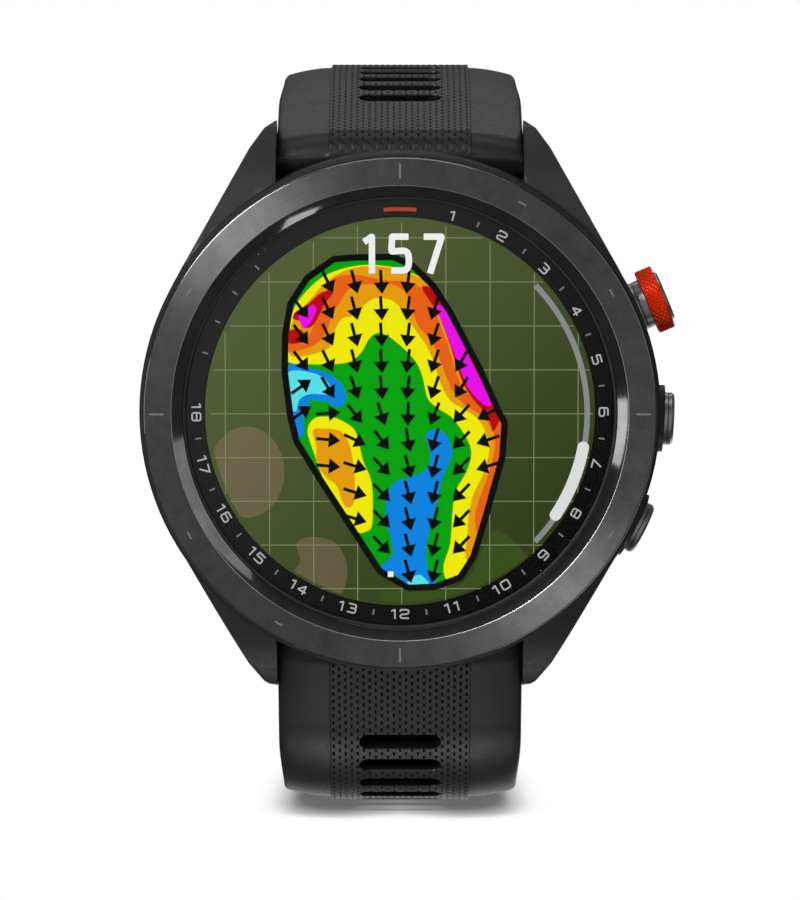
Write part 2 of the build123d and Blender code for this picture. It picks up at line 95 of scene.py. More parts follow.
# Buttons
button_height = 6.8
ring_low, ring_high = 24.35, 25.95
button_angles = {"start_button": 22.9, "middle_button": -2.6, "lower_button": -27.0}
press_shares = {"start_button": 0.72, "middle_button": 0.67, "lower_button": 0.67}

# Strap: each leg is (length, first angle, last angle), turning from straight up to straight back
bar_height, bar_offset = 4.6, 22.9
top_route = [(7.0, 68.0, 68.0), (14.0, 68.0, 88.0), (40.0, 88.0, 170.0)]
bottom_route = [(7.0, 22.0, 22.0), (13.0, 22.0, 82.0), (41.0, 82.0, 136.0), (52.0, 136.0, 172.0)]
half_thickness = [(0.0, 2.5), (7.0, 2.0), (22.0, 1.7), (61.0, 1.45), (200.0, 1.4)]
top_flex, bottom_flex = 21.5, 27.0
latch_spring_end, flex_reach = 6.5, 4.5
pin_distance, tail_length = 62.2, 113.0
slots_top = [8.0 + 2.6 * count for count in range(5)]
slots_bottom = [8.4 + 2.6 * count for count in range(7)]
tail_slots = [52.0 + 6.5 * count for count in range(8)]


# ---------------------------------------------------------------- materials


def colour(red, green, blue):
    """A display colour (0 to 255) as linear light."""

    def linear(value):
        part = value / 255
        return part / 12.92 if part <= 0.04045 else ((part + 0.055) / 1.055) ** 2.4

    return (linear(red), linear(green), linear(blue), 1.0)


class Graph:
    """The node tree of a material or a world. An input is a plain value or another node's output."""

    def __init__(self, owner):
        owner.use_nodes = True
        self.nodes, self.links = owner.node_tree.nodes, owner.node_tree.links
        self.nodes.clear()

    def add(self, kind, inputs=None, **settings):
        made = self.nodes.new("ShaderNode" + kind)
        for name, value in settings.items():
            setattr(made, name, value)
        self.feed(made, inputs or {})
        return made

    def feed(self, node, inputs):
        for socket, value in inputs.items():
            if isinstance(value, bpy.types.NodeSocket):
                self.links.new(value, node.inputs[socket])
            else:
                node.inputs[socket].default_value = value

    def vector(self, stretch=(1, 1, 1)):
        """Object coordinates, stretched along their axes."""
        where = self.add("TexCoord")
        return self.add("Mapping", {"Scale": stretch, "Vector": where.outputs["Object"]}).outputs["Vector"]

    def noise(self, vector, scale, detail=3.0, roughness=0.55):
        inputs = {"Scale": scale, "Detail": detail, "Roughness": roughness, "Vector": vector}
        return self.add("TexNoise", inputs).outputs["Fac"]

    def ramp(self, value, stops):
        made = self.add("ValToRGB", {"Fac": value})
        band = made.color_ramp
        band.elements[0].position, band.elements[0].color = stops[0]
        band.elements[1].position, band.elements[1].color = stops[-1]
        for position, shade in stops[1:-1]:
            band.elements.new(position).color = shade
        return made.outputs["Color"]

    def spread(self, value, low, high):
        """The middle range of a noise, spread between two values."""
        inputs = {"From Min": 0.3, "From Max": 0.7, "To Min": low, "To Max": high, "Value": value}
        return self.add("MapRange", inputs).outputs["Result"]

    def bump(self, shader, height, distance, strength=1.0):
        made = self.add("Bump", {"Distance": distance, "Strength": strength, "Height": height})
        self.feed(shader, {"Normal": made.outputs["Normal"]})


def surface(name):
    """A new material with its graph and shader."""
    made = bpy.data.materials.new(name)
    graph = Graph(made)
    shader = graph.add("BsdfPrincipled")
    graph.add("OutputMaterial", {0: shader.outputs[0]})
    return made, graph, shader


def shaded(shade, share):
    """A colour made darker or lighter."""
    return tuple(min(1.0, share * part) for part in shade[:3]) + (1.0,)












def finish(name, dark, light, rough, scale=1500.0, depth=0.000004, stretch=(1, 1, 1), blotch=90.0, **sockets):
    """A material with fine grain in its relief and roughness, and soft broad variation in its colour."""
    made, graph, shader = surface(name)
    vector = graph.vector(stretch)
    broad = graph.noise(vector, blotch, 4.0)
    fine = graph.noise(vector, scale, 4.0, 0.65)
    tone = graph.ramp(broad, [(0.3, dark), (0.7, light)])
    graph.feed(shader, {"Base Color": tone, "Roughness": graph.spread(fine, *rough)})
    graph.bump(shader, fine, depth)
    graph.feed(shader, {socket.replace("_", " "): value for socket, value in sockets.items()})
    return made


def grey(value, tint=(1, 1, 1)):
    return (value * tint[0], value * tint[1], value * tint[2], 1.0)


def turned_metal(name, base, rough, lines_per_mm, depth, anisotropy, fans):
    """Metal with fine turning lines about the case axis, and faint streaks across them."""
    made, graph, shader = surface(name)
    where = graph.add("TexCoord")
    parts = graph.add("SeparateXYZ", {0: where.outputs["Object"]})

    def maths(operation, *values):
        return graph.add("Math", dict(enumerate(values)), operation=operation).outputs[0]

    def joined(*values):
        return graph.add("CombineXYZ", dict(enumerate(values))).outputs[0]

    across, up = parts.outputs["X"], parts.outputs["Z"]
    radius = maths("SQRT", maths("ADD", maths("MULTIPLY", across, across), maths("MULTIPLY", up, up)))
    turn = maths("ARCTAN2", up, across)
    pitch = lines_per_mm / MM
    height = maths("MULTIPLY", parts.outputs["Y"], pitch)
    grooves = joined(maths("MULTIPLY", radius, pitch), maths("MULTIPLY", turn, 3.0), height)
    lines = graph.noise(grooves, 1.0, 4.0, 0.7)
    # The streaks follow a circle, so that they meet where the angle wraps
    circle = joined(maths("COSINE", turn), maths("SINE", turn), maths("MULTIPLY", radius, 30.0))
    streak = graph.noise(circle, fans, 5.0, 0.75)
    tone = maths("ADD", maths("MULTIPLY", lines, 0.35), maths("MULTIPLY", streak, 0.65))
    tangent = graph.add("Tangent", direction_type="RADIAL", axis="Y")
    graph.feed(shader, {
        "Base Color": graph.ramp(tone, [(0.35, shaded(base, 0.78)), (0.65, shaded(base, 1.28))]),
        "Roughness": graph.spread(lines, *rough),
        "Metallic": 1.0,
        "Anisotropic": anisotropy,
        "Anisotropic Rotation": 0.25,
        "Tangent": tangent.outputs[0],
    })  # fmt: skip
    graph.bump(shader, lines, depth)
    return made


def lit(name, shade, strength=1.0, painted_reflection=None):
    """A colour that gives off its own light, with a faint pixel grain: the screen's own glow, and painted
    light on the printed ring.

    A painted reflection colour takes over towards the upper left of the dial, in place of the glass's soft
    reflection.
    """
    made, graph, shader = surface(name)
    vector = graph.vector()
    grain = graph.noise(vector, 9000.0, 2.0)
    glow = graph.ramp(grain, [(0.25, shaded(shade, 0.93)), (0.75, shade)])
    if painted_reflection:
        # Painted reflection: a second colour mixed in towards the upper left, standing in for the glass's
        # soft reflection
        reflection_slant = graph.add("VectorMath", {0: vector, 1: (-26.0, 0.0, 26.0)}, operation="DOT_PRODUCT")
        ends = {"From Min": -1.0, "From Max": 1.0, "Value": reflection_slant.outputs["Value"]}
        share = graph.add("MapRange", ends, interpolation_type="SMOOTHSTEP").outputs["Result"]
        glow = graph.add("Mix", {"Factor": share, "A": glow, "B": painted_reflection}, data_type="RGBA").outputs["Result"]
    graph.feed(shader, {
        "Base Color": grey(0.002),
        "Roughness": 0.6,
        "Specular IOR Level": 0.0,
        "Emission Strength": strength,
        "Emission Color": glow,
    })  # fmt: skip
    return made


def clear_glass(name):
    """Coated sapphire: clear, with a faint polished reflection."""
    made = bpy.data.materials.new(name)
    graph = Graph(made)
    smear = graph.noise(graph.vector(), 60.0, 2.0)
    through = graph.add("BsdfTransparent", {"Color": (0.97, 0.98, 0.98, 1.0)})
    shine = graph.add("BsdfGlossy", {"Roughness": graph.spread(smear, 0.015, 0.035)})
    edge = graph.add("Fresnel", {"IOR": 1.12})
    mixed = graph.add("MixShader", {0: edge.outputs[0], 1: through.outputs[0], 2: shine.outputs[0]})
    graph.add("OutputMaterial", {0: mixed.outputs[0]})
    return made


def board_finish(name):
    """Green circuit board with fine tracks and pads."""
    made, graph, shader = surface(name)
    cells = graph.add("TexVoronoi", {"Scale": 900.0, "Vector": graph.vector()}, distance="CHEBYCHEV")
    edges = cells.outputs["Distance"]
    shades = [(0.1, (0.55, 0.38, 0.08, 1)), (0.16, (0.004, 0.05, 0.02, 1)), (0.8, (0.01, 0.09, 0.03, 1))]
    graph.feed(shader, {"Base Color": graph.ramp(edges, shades), "Roughness": 0.35})
    graph.bump(shader, edges, 0.00002, 0.3)
    return made


silicone = finish("silicone", grey(0.0105), grey(0.0145), (0.36, 0.48), 2600.0, 0.0000035, blotch=60.0,
                  Specular_IOR_Level=0.45)  # fmt: skip
# Painted shade: a near-black, duller copy of the silicone for the slots' deep walls, in place of the shade
# inside them
painted_slot_shade = finish("painted_slot_shade", grey(0.002), grey(0.003), (0.6, 0.75), 2600.0, 0.0000035,
                    Specular_IOR_Level=0.15)  # fmt: skip
bezel_metal = turned_metal("bezel_metal", grey(0.165, (1, 1.0, 1.02)), (0.42, 0.5), 16.0, 0.0000006, 0.9, 9.0)
bezel_polish = turned_metal("bezel_polish", grey(0.30), (0.05, 0.1), 4.0, 0.0000001, 0.0, 6.0)
bezel_edge = turned_metal("bezel_edge", grey(0.72), (0.3, 0.4), 4.0, 0.0000001, 0.0, 6.0)
button_metal = finish("button_metal", grey(0.34), grey(0.48), (0.28, 0.38), 4000.0, 0.0000003, (1, 0.15, 1),
                      Metallic=1.0)  # fmt: skip
red_anodised = finish("red_anodised", (0.95, 0.04, 0.006, 1), (1.0, 0.085, 0.014, 1), (0.2, 0.3), 3000.0,
                      0.0000005, Metallic=0.4)  # fmt: skip
seal_rubber = finish("seal_rubber", grey(0.008), grey(0.012), (0.5, 0.65), 1200.0)
mark_grey = finish("mark_grey", grey(0.2), grey(0.26), (0.35, 0.45), 2200.0, 0.000001)
glass = clear_glass("glass")
# The ring's print gives off its own light: painted light in place of the light falling on it through the
# glass. The black print also carries a painted reflection towards the upper left.
print_white = lit("print_white", grey(0.46))
print_grey = lit("print_grey", grey(0.2))
print_black = lit("black_print", grey(0.0012), 1.0, grey(0.02))
led_glow = lit("led_glow", (0.004, 0.05, 0.016, 1.0), 0.6)
# The screen's base lightens towards the upper left: a painted reflection of the glass over it
display_off = lit("display_base", colour(44, 58, 20), 1.0, colour(86, 98, 58))

slot_finishes = {
    "bezel_metal": bezel_metal,
    "glass": glass,
    "seal_rubber": seal_rubber,
    "black_print": print_black,
    "display": display_off,
    "button_metal": button_metal,
    "red_ring": red_anodised,
    "silicone": silicone,
    "circuit": board_finish("circuit"),
    "inner_plastic": finish("inner_plastic", grey(0.03), grey(0.045), (0.4, 0.55)),
    "case_polymer": finish("case_polymer", grey(0.011), grey(0.017), (0.42, 0.56), 1700.0, 0.000006),
    "back_plastic": finish("back_plastic", grey(0.012), grey(0.018), (0.34, 0.46), 1400.0, 0.000005),
    "lens": finish("lens", grey(0.0035), grey(0.005), (0.08, 0.14), 700.0, 0.0000003),
    "chip": finish("chip", grey(0.012), grey(0.02), (0.35, 0.5)),
    "steel": finish("steel", grey(0.42), grey(0.55), (0.2, 0.34), 2600.0, 0.0000015, (0.1, 1, 1),
                    Metallic=1.0),
    "dark_steel": finish("dark_steel", grey(0.085), grey(0.12), (0.26, 0.38), 2400.0, 0.000002, (0.08, 1, 1),
                         Metallic=1.0),
    "tungsten": finish("tungsten", grey(0.3), grey(0.4), (0.3, 0.45), Metallic=1.0),
    "foil": finish("foil", grey(0.45), grey(0.6), (0.25, 0.45), 500.0, 0.00002, Metallic=0.8),
    "gold": finish("gold", (0.85, 0.55, 0.18, 1), (1.0, 0.72, 0.3, 1), (0.14, 0.26), 3200.0, 0.0000015,
                   Metallic=1.0),
    "brass_disc": finish("brass", (0.7, 0.45, 0.15, 1), (0.82, 0.58, 0.24, 1), (0.2, 0.35), Metallic=1.0),
}  # fmt: skip


# ---------------------------------------------------------------- mesh helpers


def mesh_object(name, points, faces, place=DIAL, smooth=35.0):
    """A mesh from points in millimetres, put in the row frame, with hard edges where faces turn sharply."""
    data = bpy.data.meshes.new(name)
    data.from_pydata([place @ (Vector(point) * MM) for point in points], [], faces)
    data.validate()
    made = bpy.data.objects.new(name, data)
    bpy.context.scene.collection.objects.link(made)
    shade(made, smooth)
    return made


def shade(made, smooth=35.0):
    made.data.shade_smooth()
    made.data.set_sharp_from_angle(angle=radians(smooth))


def wear(made, body, slot, *materials, replaces=()):
    """Gives a piece its materials and body, and hides the CAD nodes that it stands for."""
    for material in materials:
        made.data.materials.append(material)
    if body:
        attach(made, body)
    if replaces:
        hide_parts(*replaces)
    return made


def tube_faces(rings, count, looped=False):
    """The quads along a tube of rings of points. The last ring of a looped tube meets its first."""
    faces = []
    for ring in range(rings if looped else rings - 1):
        here, there = ring * count, (ring + 1) % rings * count
        for corner in range(count):
            after = (corner + 1) % count
            faces.append((here + corner, here + after, there + after, there + corner))
    return faces


def closed_tube(rings, count):
    """The faces of a tube with both ends closed."""
    last = (rings - 1) * count
    return tube_faces(rings, count) + [tuple(reversed(range(count))), tuple(range(last, last + count))]


def rounded(points, radius, steps=4, closed=True):
    """An outline with rounded corners. A third value at a point is that corner's own radius."""
    out, count = [], len(points)
    for index, point in enumerate(points):
        here = Vector(point[:2])
        size = point[2] if len(point) > 2 else radius
        ends = not closed and index in (0, count - 1)
        back = Vector(points[index - 1][:2]) - here
        on = Vector(points[(index + 1) % count][:2]) - here
        if ends or size <= 0 or back.length < 1e-9 or on.length < 1e-9 or back.angle(on) > radians(179):
            out.append(here)
            continue
        reach = min(size / tan(back.angle(on) / 2), 0.48 * back.length, 0.48 * on.length)
        start, stop = here + back.normalized() * reach, here + on.normalized() * reach
        for step in range(steps + 1):
            share = step / steps
            out.append(start * (1 - share) ** 2 + here * 2 * share * (1 - share) + stop * share**2)
    return out


def flowing(points, steps=5):
    """A smooth closed curve through points."""
    out, count = [], len(points)
    for index in range(count):
        a, b, c, d = (Vector(points[(index + shift) % count]) for shift in (-1, 0, 1, 2))
        for step in range(steps):
            t = step / steps
            square, cube = (2 * a - 5 * b + 4 * c - d) * t**2, (3 * b - a - 3 * c + d) * t**3
            out.append(0.5 * (2 * b + (c - a) * t + square + cube))
    return out


def lathe(name, outline, place=DIAL, steps=256, smooth=35.0, wave=None):
    """A solid turned about a frame's Z, from a closed outline of (radius, height).

    An outline that starts and ends on the axis gets flat round end faces. A wave moves single points in or
    out, and the squares between them are split along their lower diagonal.
    """
    solid = outline[0][0] < 1e-6 and outline[-1][0] < 1e-6
    profile = outline[1:-1] if solid else outline
    count, points, faces = len(profile), [], []

    def reach(turn, index):
        return profile[index][0] + (wave(turn % steps, index) if wave else 0.0)

    for turn in range(steps):
        angle = 2 * pi * turn / steps
        for index, (_, height) in enumerate(profile):
            radius = reach(turn, index)
            points.append((radius * sin(angle), radius * cos(angle), height))
    for turn in range(steps):
        here, there = turn * count, ((turn + 1) % steps) * count
        for index in range(count - 1 if solid else count):
            after = (index + 1) % count
            a, b, c, d = here + index, there + index, there + after, here + after
            if wave and wave(turn, index):
                one = reach(turn + 1, index) + reach(turn, after)
                other = reach(turn, index) + reach(turn + 1, after)
                faces += [(a, b, d), (b, c, d)] if one < other else [(a, b, c), (a, c, d)]
            else:
                faces.append((a, b, c, d))
    if solid:
        faces.append(tuple(reversed(range(0, steps * count, count))))
        faces.append(tuple(range(count - 1, steps * count, count)))
    made = mesh_object(name, points, faces, place, smooth)
    merge(made)
    shade(made, smooth)
    made.modifiers.new("normals", "WEIGHTED_NORMAL").keep_sharp = True
    return made


def merge(made, distance=2e-7):
    """Joins points that lie together, drops faces with no area and turns every face outwards."""
    work = bmesh.new()
    work.from_mesh(made.data)
    bmesh.ops.remove_doubles(work, verts=work.verts, dist=distance)
    bmesh.ops.dissolve_degenerate(work, dist=1e-8, edges=work.edges)
    bmesh.ops.recalc_face_normals(work, faces=work.faces)
    work.to_mesh(made.data)
    work.free()


class Flat:
    """Thin plates and lines on one level, gathered into one mesh."""

    def __init__(self, low, thick=film):
        self.low, self.high = low, low + thick
        self.points, self.faces = [], []

    def add(self, points, faces):
        first = len(self.points)
        self.points += points
        self.faces += [tuple(first + corner for corner in face) for face in faces]

    def plate(self, outline):
        points = [(x, y, level) for level in (self.low, self.high) for x, y in outline]
        self.add(points, closed_tube(2, len(outline)))

    def line(self, path, width, closed=False):
        """A line of one width with mitred corners."""
        points, count = [], len(path)
        path = [Vector(point) for point in path]
        for index, point in enumerate(path):
            back = point - path[index - 1] if closed or index else path[1] - path[0]
            on = path[(index + 1) % count] - point if closed or index < count - 1 else back
            back, on = back.normalized(), on.normalized()
            side = Vector((-back.y - on.y, back.x + on.x)).normalized()
            reach = width / 2 / max(0.5, side.dot(Vector((-on.y, on.x))))
            for way, level in ((1, self.low), (-1, self.low), (-1, self.high), (1, self.high)):
                where = point + side * reach * way
                points.append((where.x, where.y, level))
        self.add(points, tube_faces(count, 4, True) if closed else closed_tube(count, 4))

    def build(self, name, slot, material):
        if slot == "display":
            self.points = [(x + screen_shift[0], y + screen_shift[1], level) for x, y, level in self.points]
        made = mesh_object(name, self.points, self.faces, DIAL, 20.0)
        merge(made, 1e-9)
        wear(made, "case", slot, material)


def on_dial(radius, angle):
    """A point on the dial, at an angle clockwise from 12 o'clock."""
    return Vector((radius * sin(radians(angle)), radius * cos(radians(angle))))


def arc(radius, first, last, steps):
    return [on_dial(radius, first + (last - first) * step / steps) for step in range(steps + 1)]


# ---------------------------------------------------------------- digits, drawn as strokes in a unit-high box

digit_strokes = {
    "0": [[(0, 0), (0, 1), (0.74, 1), (0.74, 0)]],
    "1": [[(0.02, 0.84), (0.36, 1, 0.02), (0.36, -0.09)]],
    "2": [[(0, 0.76), (0, 1), (0.74, 1), (0.74, 0.52), (0, 0.42), (0, 0), (0.76, 0)]],
    "3": [[(0, 1), (0.72, 1), (0.72, 0.52), (0.22, 0.52)], [(0.5, 0.52), (0.74, 0.52), (0.74, 0), (0, 0)]],
    "4": [[(0.56, -0.09), (0.56, 1), (0, 0.28), (0.8, 0.28)]],
    "5": [[(0.72, 1), (0.03, 1, 0.02), (0.0, 0.56, 0.05), (0.74, 0.6), (0.74, 0), (0, 0)]],
    "6": [[(0.68, 1), (0, 1), (0, 0), (0.74, 0), (0.74, 0.58), (0.02, 0.58)]],
    "7": [[(0, 1), (0.76, 1, 0.02), (0.27, -0.09)]],
    "8": [[(0.02, 0), (0.02, 1), (0.72, 1), (0.72, 0)], [(0.02, 0.53), (0.72, 0.53)]],
    "9": [[(0.06, 0), (0.74, 0), (0.74, 1), (0, 1), (0, 0.42), (0.72, 0.42)]],
}
closed_digits = ("0", "8")


def write_digits(flat, text, centre, height, turn, stroke, wide=1.0, corner=0.2, gap=0.3):
    """Draws digits centred at a point, turned counter-clockwise by an angle."""
    widths = [0.6 if letter == "1" else 0.78 for letter in text]
    start = -(sum(widths) + gap * (len(text) - 1)) / 2
    c, s = cos(radians(turn)), sin(radians(turn))
    for letter, width in zip(text, widths):
        for index, path in enumerate(digit_strokes[letter]):
            closed = letter in closed_digits and index == 0
            sharp = 0.04 if letter in "147" else corner
            bent = rounded(path, sharp, 4, closed)
            spots = []
            for x, y in bent:
                across, up = (start + x) * height * wide, (y - 0.5) * height
                spots.append((centre[0] + across * c - up * s, centre[1] + across * s + up * c))
            flat.line(spots, stroke, closed)
        start += width + gap


# ---------------------------------------------------------------- bezel, glass and printed ring


def build_bezel():
    outline = rounded(
        [
            (chamfer_inner, 11.0),
            (20.75, 11.0),
            (20.75, 12.0),
            (bezel_radius, 12.0),
            (bezel_radius, bezel_top, 0.22),
            (bezel_inner, bezel_top, 0.1),
            (chamfer_inner, chamfer_low, 0.06),
        ],
        0.05,
        4,
    )
    made = lathe("bezel", outline, steps=360)
    wear(made, "case", "bezel_metal", bezel_metal, bezel_polish, bezel_edge, replaces=["bezel_ring"])
    for face in made.data.polygons:
        radius = Vector((face.center.x, face.center.z)).length / MM
        tilt = abs(face.normal.y)
        upper = -face.center.y > (bezel_top - 0.2) * MM
        rounding = upper and 0.3 < tilt < 0.995 and abs(radius - bezel_inner) < 0.12
        outer_edge = upper and 0.3 < tilt < 0.93 and radius > bezel_radius - 0.14
        chamfer = radius < bezel_inner and 0.3 < tilt < 0.93
        face.material_index = 2 if rounding else int(chamfer or outer_edge)
    marks = Flat(bezel_top - 0.02, 0.026)
    for hour in range(12):
        if hour % 3 == 0:
            marks.line([on_dial(21.25, 30 * hour), on_dial(22.56, 30 * hour)], 0.18)
        else:
            marks.line(arc(21.93, 30 * hour - 1.0, 30 * hour + 1.0, 3), 0.16)
    marks.build("bezel_hour_marks", "bezel_metal", mark_grey)


def build_glass():
    edge = [(glass_radius, glass_low, 0.04), (glass_radius, glass_high, 0.16)]
    rim = rounded([(0.0, glass_low), *edge, (0.0, glass_high)], 0.0, 4, closed=False)
    made = lathe("crystal", rim, steps=256)
    wear(made, "case", "glass", glass, replaces=["front_glass"])
    gasket = rounded(
        [(19.32, 11.8), (chamfer_inner - 0.03, 11.8), (chamfer_inner - 0.03, 12.8), (19.32, 12.75)], 0.05, 3
    )
    wear(lathe("glass_seal", gasket), "case", "seal_rubber", seal_rubber, replaces=["glass_gasket"])


def build_printed_ring():
    low, high = 11.32, print_top - film
    corners = [(print_inner, low), (print_outer, low), (print_outer, high), (print_inner, high)]
    ring = lathe("hole_ring", rounded(corners, 0.015, 2))
    wear(ring, "case", "black_print", print_black, replaces=["number_ring"])
    numbers, ticks, accent = (Flat(high, 2 * film) for _ in range(3))
    for count in range(1, 19):
        angle = 15 * count
        turn = -angle if count <= 6 else 180 - angle
        write_digits(numbers, str(count), on_dial(18.38, angle), 0.77, turn, 0.14, 1.3, 0.22, 0.26)
    between_numbers = [15 * count + 7.5 for count in range(1, 18)]
    in_place_of_name = [287 + 9.5 * count for count in range(4)]
    for angle in between_numbers + in_place_of_name:
        ticks.line([on_dial(18.1, angle), on_dial(18.62, angle)], 0.15)
    numbers.build("hole_numbers", "black_print", print_white)
    ticks.build("hole_ticks", "black_print", print_grey)
    accent.line(arc(18.36, -4.6, 4.6, 16), 0.34)
    # The red accent print glows with painted light, like the rest of the ring's print
    accent.build("accent_bar", "red_ring", lit("accent_print", colour(214, 78, 56), 0.7))


# ---------------------------------------------------------------- the screen

outline_points = [
    (-4.0, 14.15), (-6.1, 14.0), (-8.5, 12.3), (-10.0, 10.0), (-10.5, 7.2), (-10.55, 3.8), (-10.05, -0.2),
    (-9.5, -2.5), (-7.15, -6.3), (-4.05, -11.1), (-2.0, -14.3), (0.6, -15.85), (3.05, -15.75), (5.3, -14.9),
    (6.5, -13.0), (7.7, -9.0), (9.1, -3.9), (9.3, -0.8), (8.85, 0.0), (7.0, 4.15), (4.4, 9.15), (2.85, 11.6),
    (1.0, 13.4), (-0.8, 14.2),
]  # fmt: skip
zones = [
    ("zone_yellow_arch", (248, 240, 6), [
        (-10.2, 5.7), (-9.9, 8.9), (-9.0, 10.6), (-7.1, 12.4), (-4.4, 13.35), (-1.6, 13.4), (1.0, 12.7),
        (2.9, 11.5), (4.5, 9.1), (7.0, 4.1), (8.8, -0.2), (9.05, -3.9), (7.8, -9.0), (6.6, -13.0),
        (5.3, -14.8), (4.1, -15.1), (3.8, -13.8), (4.4, -11.8), (4.6, -9.0), (4.9, -7.0), (5.9, -5.2),
        (6.3, -3.5), (5.8, -2.1), (4.6, -0.4), (3.3, 0.5), (2.35, 1.4), (1.9, 3.3), (1.3, 4.7),
        (0.1, 6.0), (-1.3, 7.1), (-2.3, 7.3), (-3.0, 6.7), (-3.7, 5.5), (-5.1, 4.6), (-8.5, 4.5),
        (-10.2, 4.7),
    ]),
    ("zone_amber_arch", (238, 160, 10), [
        (-10.2, 5.6), (-9.9, 8.2), (-8.2, 10.4), (-6.6, 12.1), (-4.4, 13.2), (-1.6, 13.3), (1.0, 12.6),
        (2.9, 11.4), (4.4, 9.1), (7.0, 4.1), (8.7, -0.2), (9.05, -3.9), (7.7, -9.0), (6.6, -12.9),
        (5.8, -13.1), (5.95, -11.1), (6.1, -9.0), (6.5, -7.3), (7.3, -5.6), (7.9, -3.5), (7.7, -2.1),
        (7.0, -0.6), (5.8, 0.3), (4.4, 1.2), (3.5, 2.8), (2.9, 4.7), (2.2, 6.2), (1.3, 7.5), (0.7, 8.4),
        (-0.1, 9.6), (-1.0, 10.3), (-2.3, 10.5), (-3.3, 9.9), (-4.4, 8.9), (-5.4, 8.6), (-6.1, 7.4),
        (-6.5, 6.0), (-9.0, 5.2),
    ]),
    ("zone_orange_arch", (240, 100, 20), [
        (-10.2, 6.3), (-8.9, 6.4), (-8.2, 7.4), (-7.6, 8.9), (-7.0, 10.6), (-6.2, 12.2), (-4.3, 12.6),
        (-1.6, 12.1), (0.8, 11.9), (2.4, 10.7), (3.4, 8.3), (4.2, 6.2), (4.9, 3.8), (5.8, 2.0),
        (7.4, 0.9), (8.9, 0.0), (9.2, -2.0), (9.0, -4.1), (7.8, -8.5), (7.1, -10.6), (6.75, -10.6),
        (6.65, -9.0), (7.3, -7.0), (8.0, -5.0), (8.4, -3.0), (8.2, -1.5), (7.2, -0.2), (6.0, 0.6),
        (5.0, 1.5), (4.2, 2.9), (3.6, 4.5), (3.0, 6.0), (2.3, 7.0), (1.5, 8.0), (0.9, 9.4), (0.4, 10.9),
        (-0.9, 11.7), (-3.4, 11.7), (-4.7, 11.3), (-5.6, 10.0), (-6.1, 9.3), (-6.6, 8.0), (-7.2, 6.8),
        (-8.4, 6.0), (-10.2, 5.6),
    ]),
    ("zone_red_right", (190, 8, 12), [
        (1.8, 11.5), (3.0, 11.2), (4.4, 8.9), (6.9, 4.2), (8.4, 1.2), (9.1, 0.1), (8.7, -0.9),
        (8.2, -1.6), (7.8, -0.2), (6.7, 1.0), (5.6, 2.6), (4.9, 4.5), (4.3, 6.4), (3.7, 8.0), (3.2, 9.2),
        (2.6, 10.1),
    ]),
    ("zone_red_left", (190, 8, 12), [
        (-6.4, 11.2), (-7.4, 10.9), (-8.4, 10.0), (-9.6, 9.2), (-9.8, 8.6), (-9.2, 8.4), (-8.9, 7.8),
        (-8.1, 7.9), (-7.4, 9.0), (-6.9, 10.0), (-6.2, 10.9),
    ]),
    ("zone_red_patch", (190, 8, 12), [
        (-10.3, 7.4), (-9.4, 7.7), (-8.8, 7.3), (-8.8, 6.5), (-10.3, 6.4),
    ]),
    ("zone_magenta_right", (240, 10, 240), [
        (3.1, 9.7), (4.0, 9.4), (5.1, 7.2), (6.6, 4.1), (8.1, 1.1), (7.5, 0.8), (6.1, 2.2), (5.1, 4.5),
        (4.2, 6.9),
    ]),
    ("zone_magenta_left", (240, 10, 240), [
        (-8.0, 9.9), (-7.7, 9.3), (-8.5, 7.9), (-9.0, 8.0), (-9.3, 8.9), (-8.6, 9.4),
    ]),
    ("zone_blue_left", (10, 135, 230), [
        (-10.3, 4.3), (-8.0, 4.1), (-6.3, 3.5), (-5.3, 2.5), (-5.0, 1.5), (-5.4, 0.7), (-6.2, 0.7),
        (-6.8, 1.1), (-8.4, 1.2), (-8.3, 0.6), (-8.9, -0.2), (-8.8, -1.6), (-9.1, -2.1), (-9.6, -2.1),
        (-10.0, 0.0),
    ]),
    ("zone_cyan_left", (90, 230, 240), [
        (-10.3, 3.7), (-8.0, 3.7), (-6.7, 2.9), (-6.4, 1.8), (-8.2, 1.8), (-9.2, 1.3), (-9.5, 0.3),
        (-10.0, 0.6),
    ]),
    ("zone_yellow_left", (248, 240, 6), [
        (-8.5, -1.6), (-8.0, -0.5), (-7.1, -0.25), (-5.9, -0.4), (-4.5, -1.2), (-3.95, -2.2),
        (-3.5, -4.2), (-2.75, -6.1), (-2.6, -8.3), (-2.7, -10.2), (-3.2, -10.7), (-4.1, -10.7),
        (-5.3, -8.9), (-6.9, -6.3), (-7.9, -3.6),
    ]),
    ("zone_amber_left", (238, 160, 10), [
        (-8.0, -1.5), (-6.8, -1.35), (-5.5, -1.6), (-4.75, -2.7), (-4.4, -4.4), (-4.2, -7.0),
        (-4.5, -8.4), (-5.2, -8.3), (-5.9, -6.5), (-6.8, -5.8), (-7.7, -4.4), (-7.7, -3.0),
    ]),
    ("zone_blue_run", (10, 135, 230), [
        (2.2, -1.9), (2.8, -1.4), (3.7, -1.55), (4.4, -2.7), (4.5, -3.9), (3.7, -5.8), (3.2, -8.0),
        (2.55, -10.4), (2.2, -12.5), (2.4, -14.2), (3.1, -15.6), (0.7, -15.7), (-0.5, -14.7),
        (-1.9, -14.0), (-0.95, -13.0), (-0.85, -11.8), (-1.45, -9.7), (-1.3, -7.7), (-0.6, -6.2),
        (1.5, -5.5), (2.4, -4.7), (2.6, -3.7), (2.3, -2.7),
    ]),
    ("zone_cyan_run", (90, 230, 240), [
        (0.4, -15.6), (1.1, -14.8), (1.8, -14.7), (2.5, -15.6), (1.4, -15.8),
    ]),
]  # fmt: skip


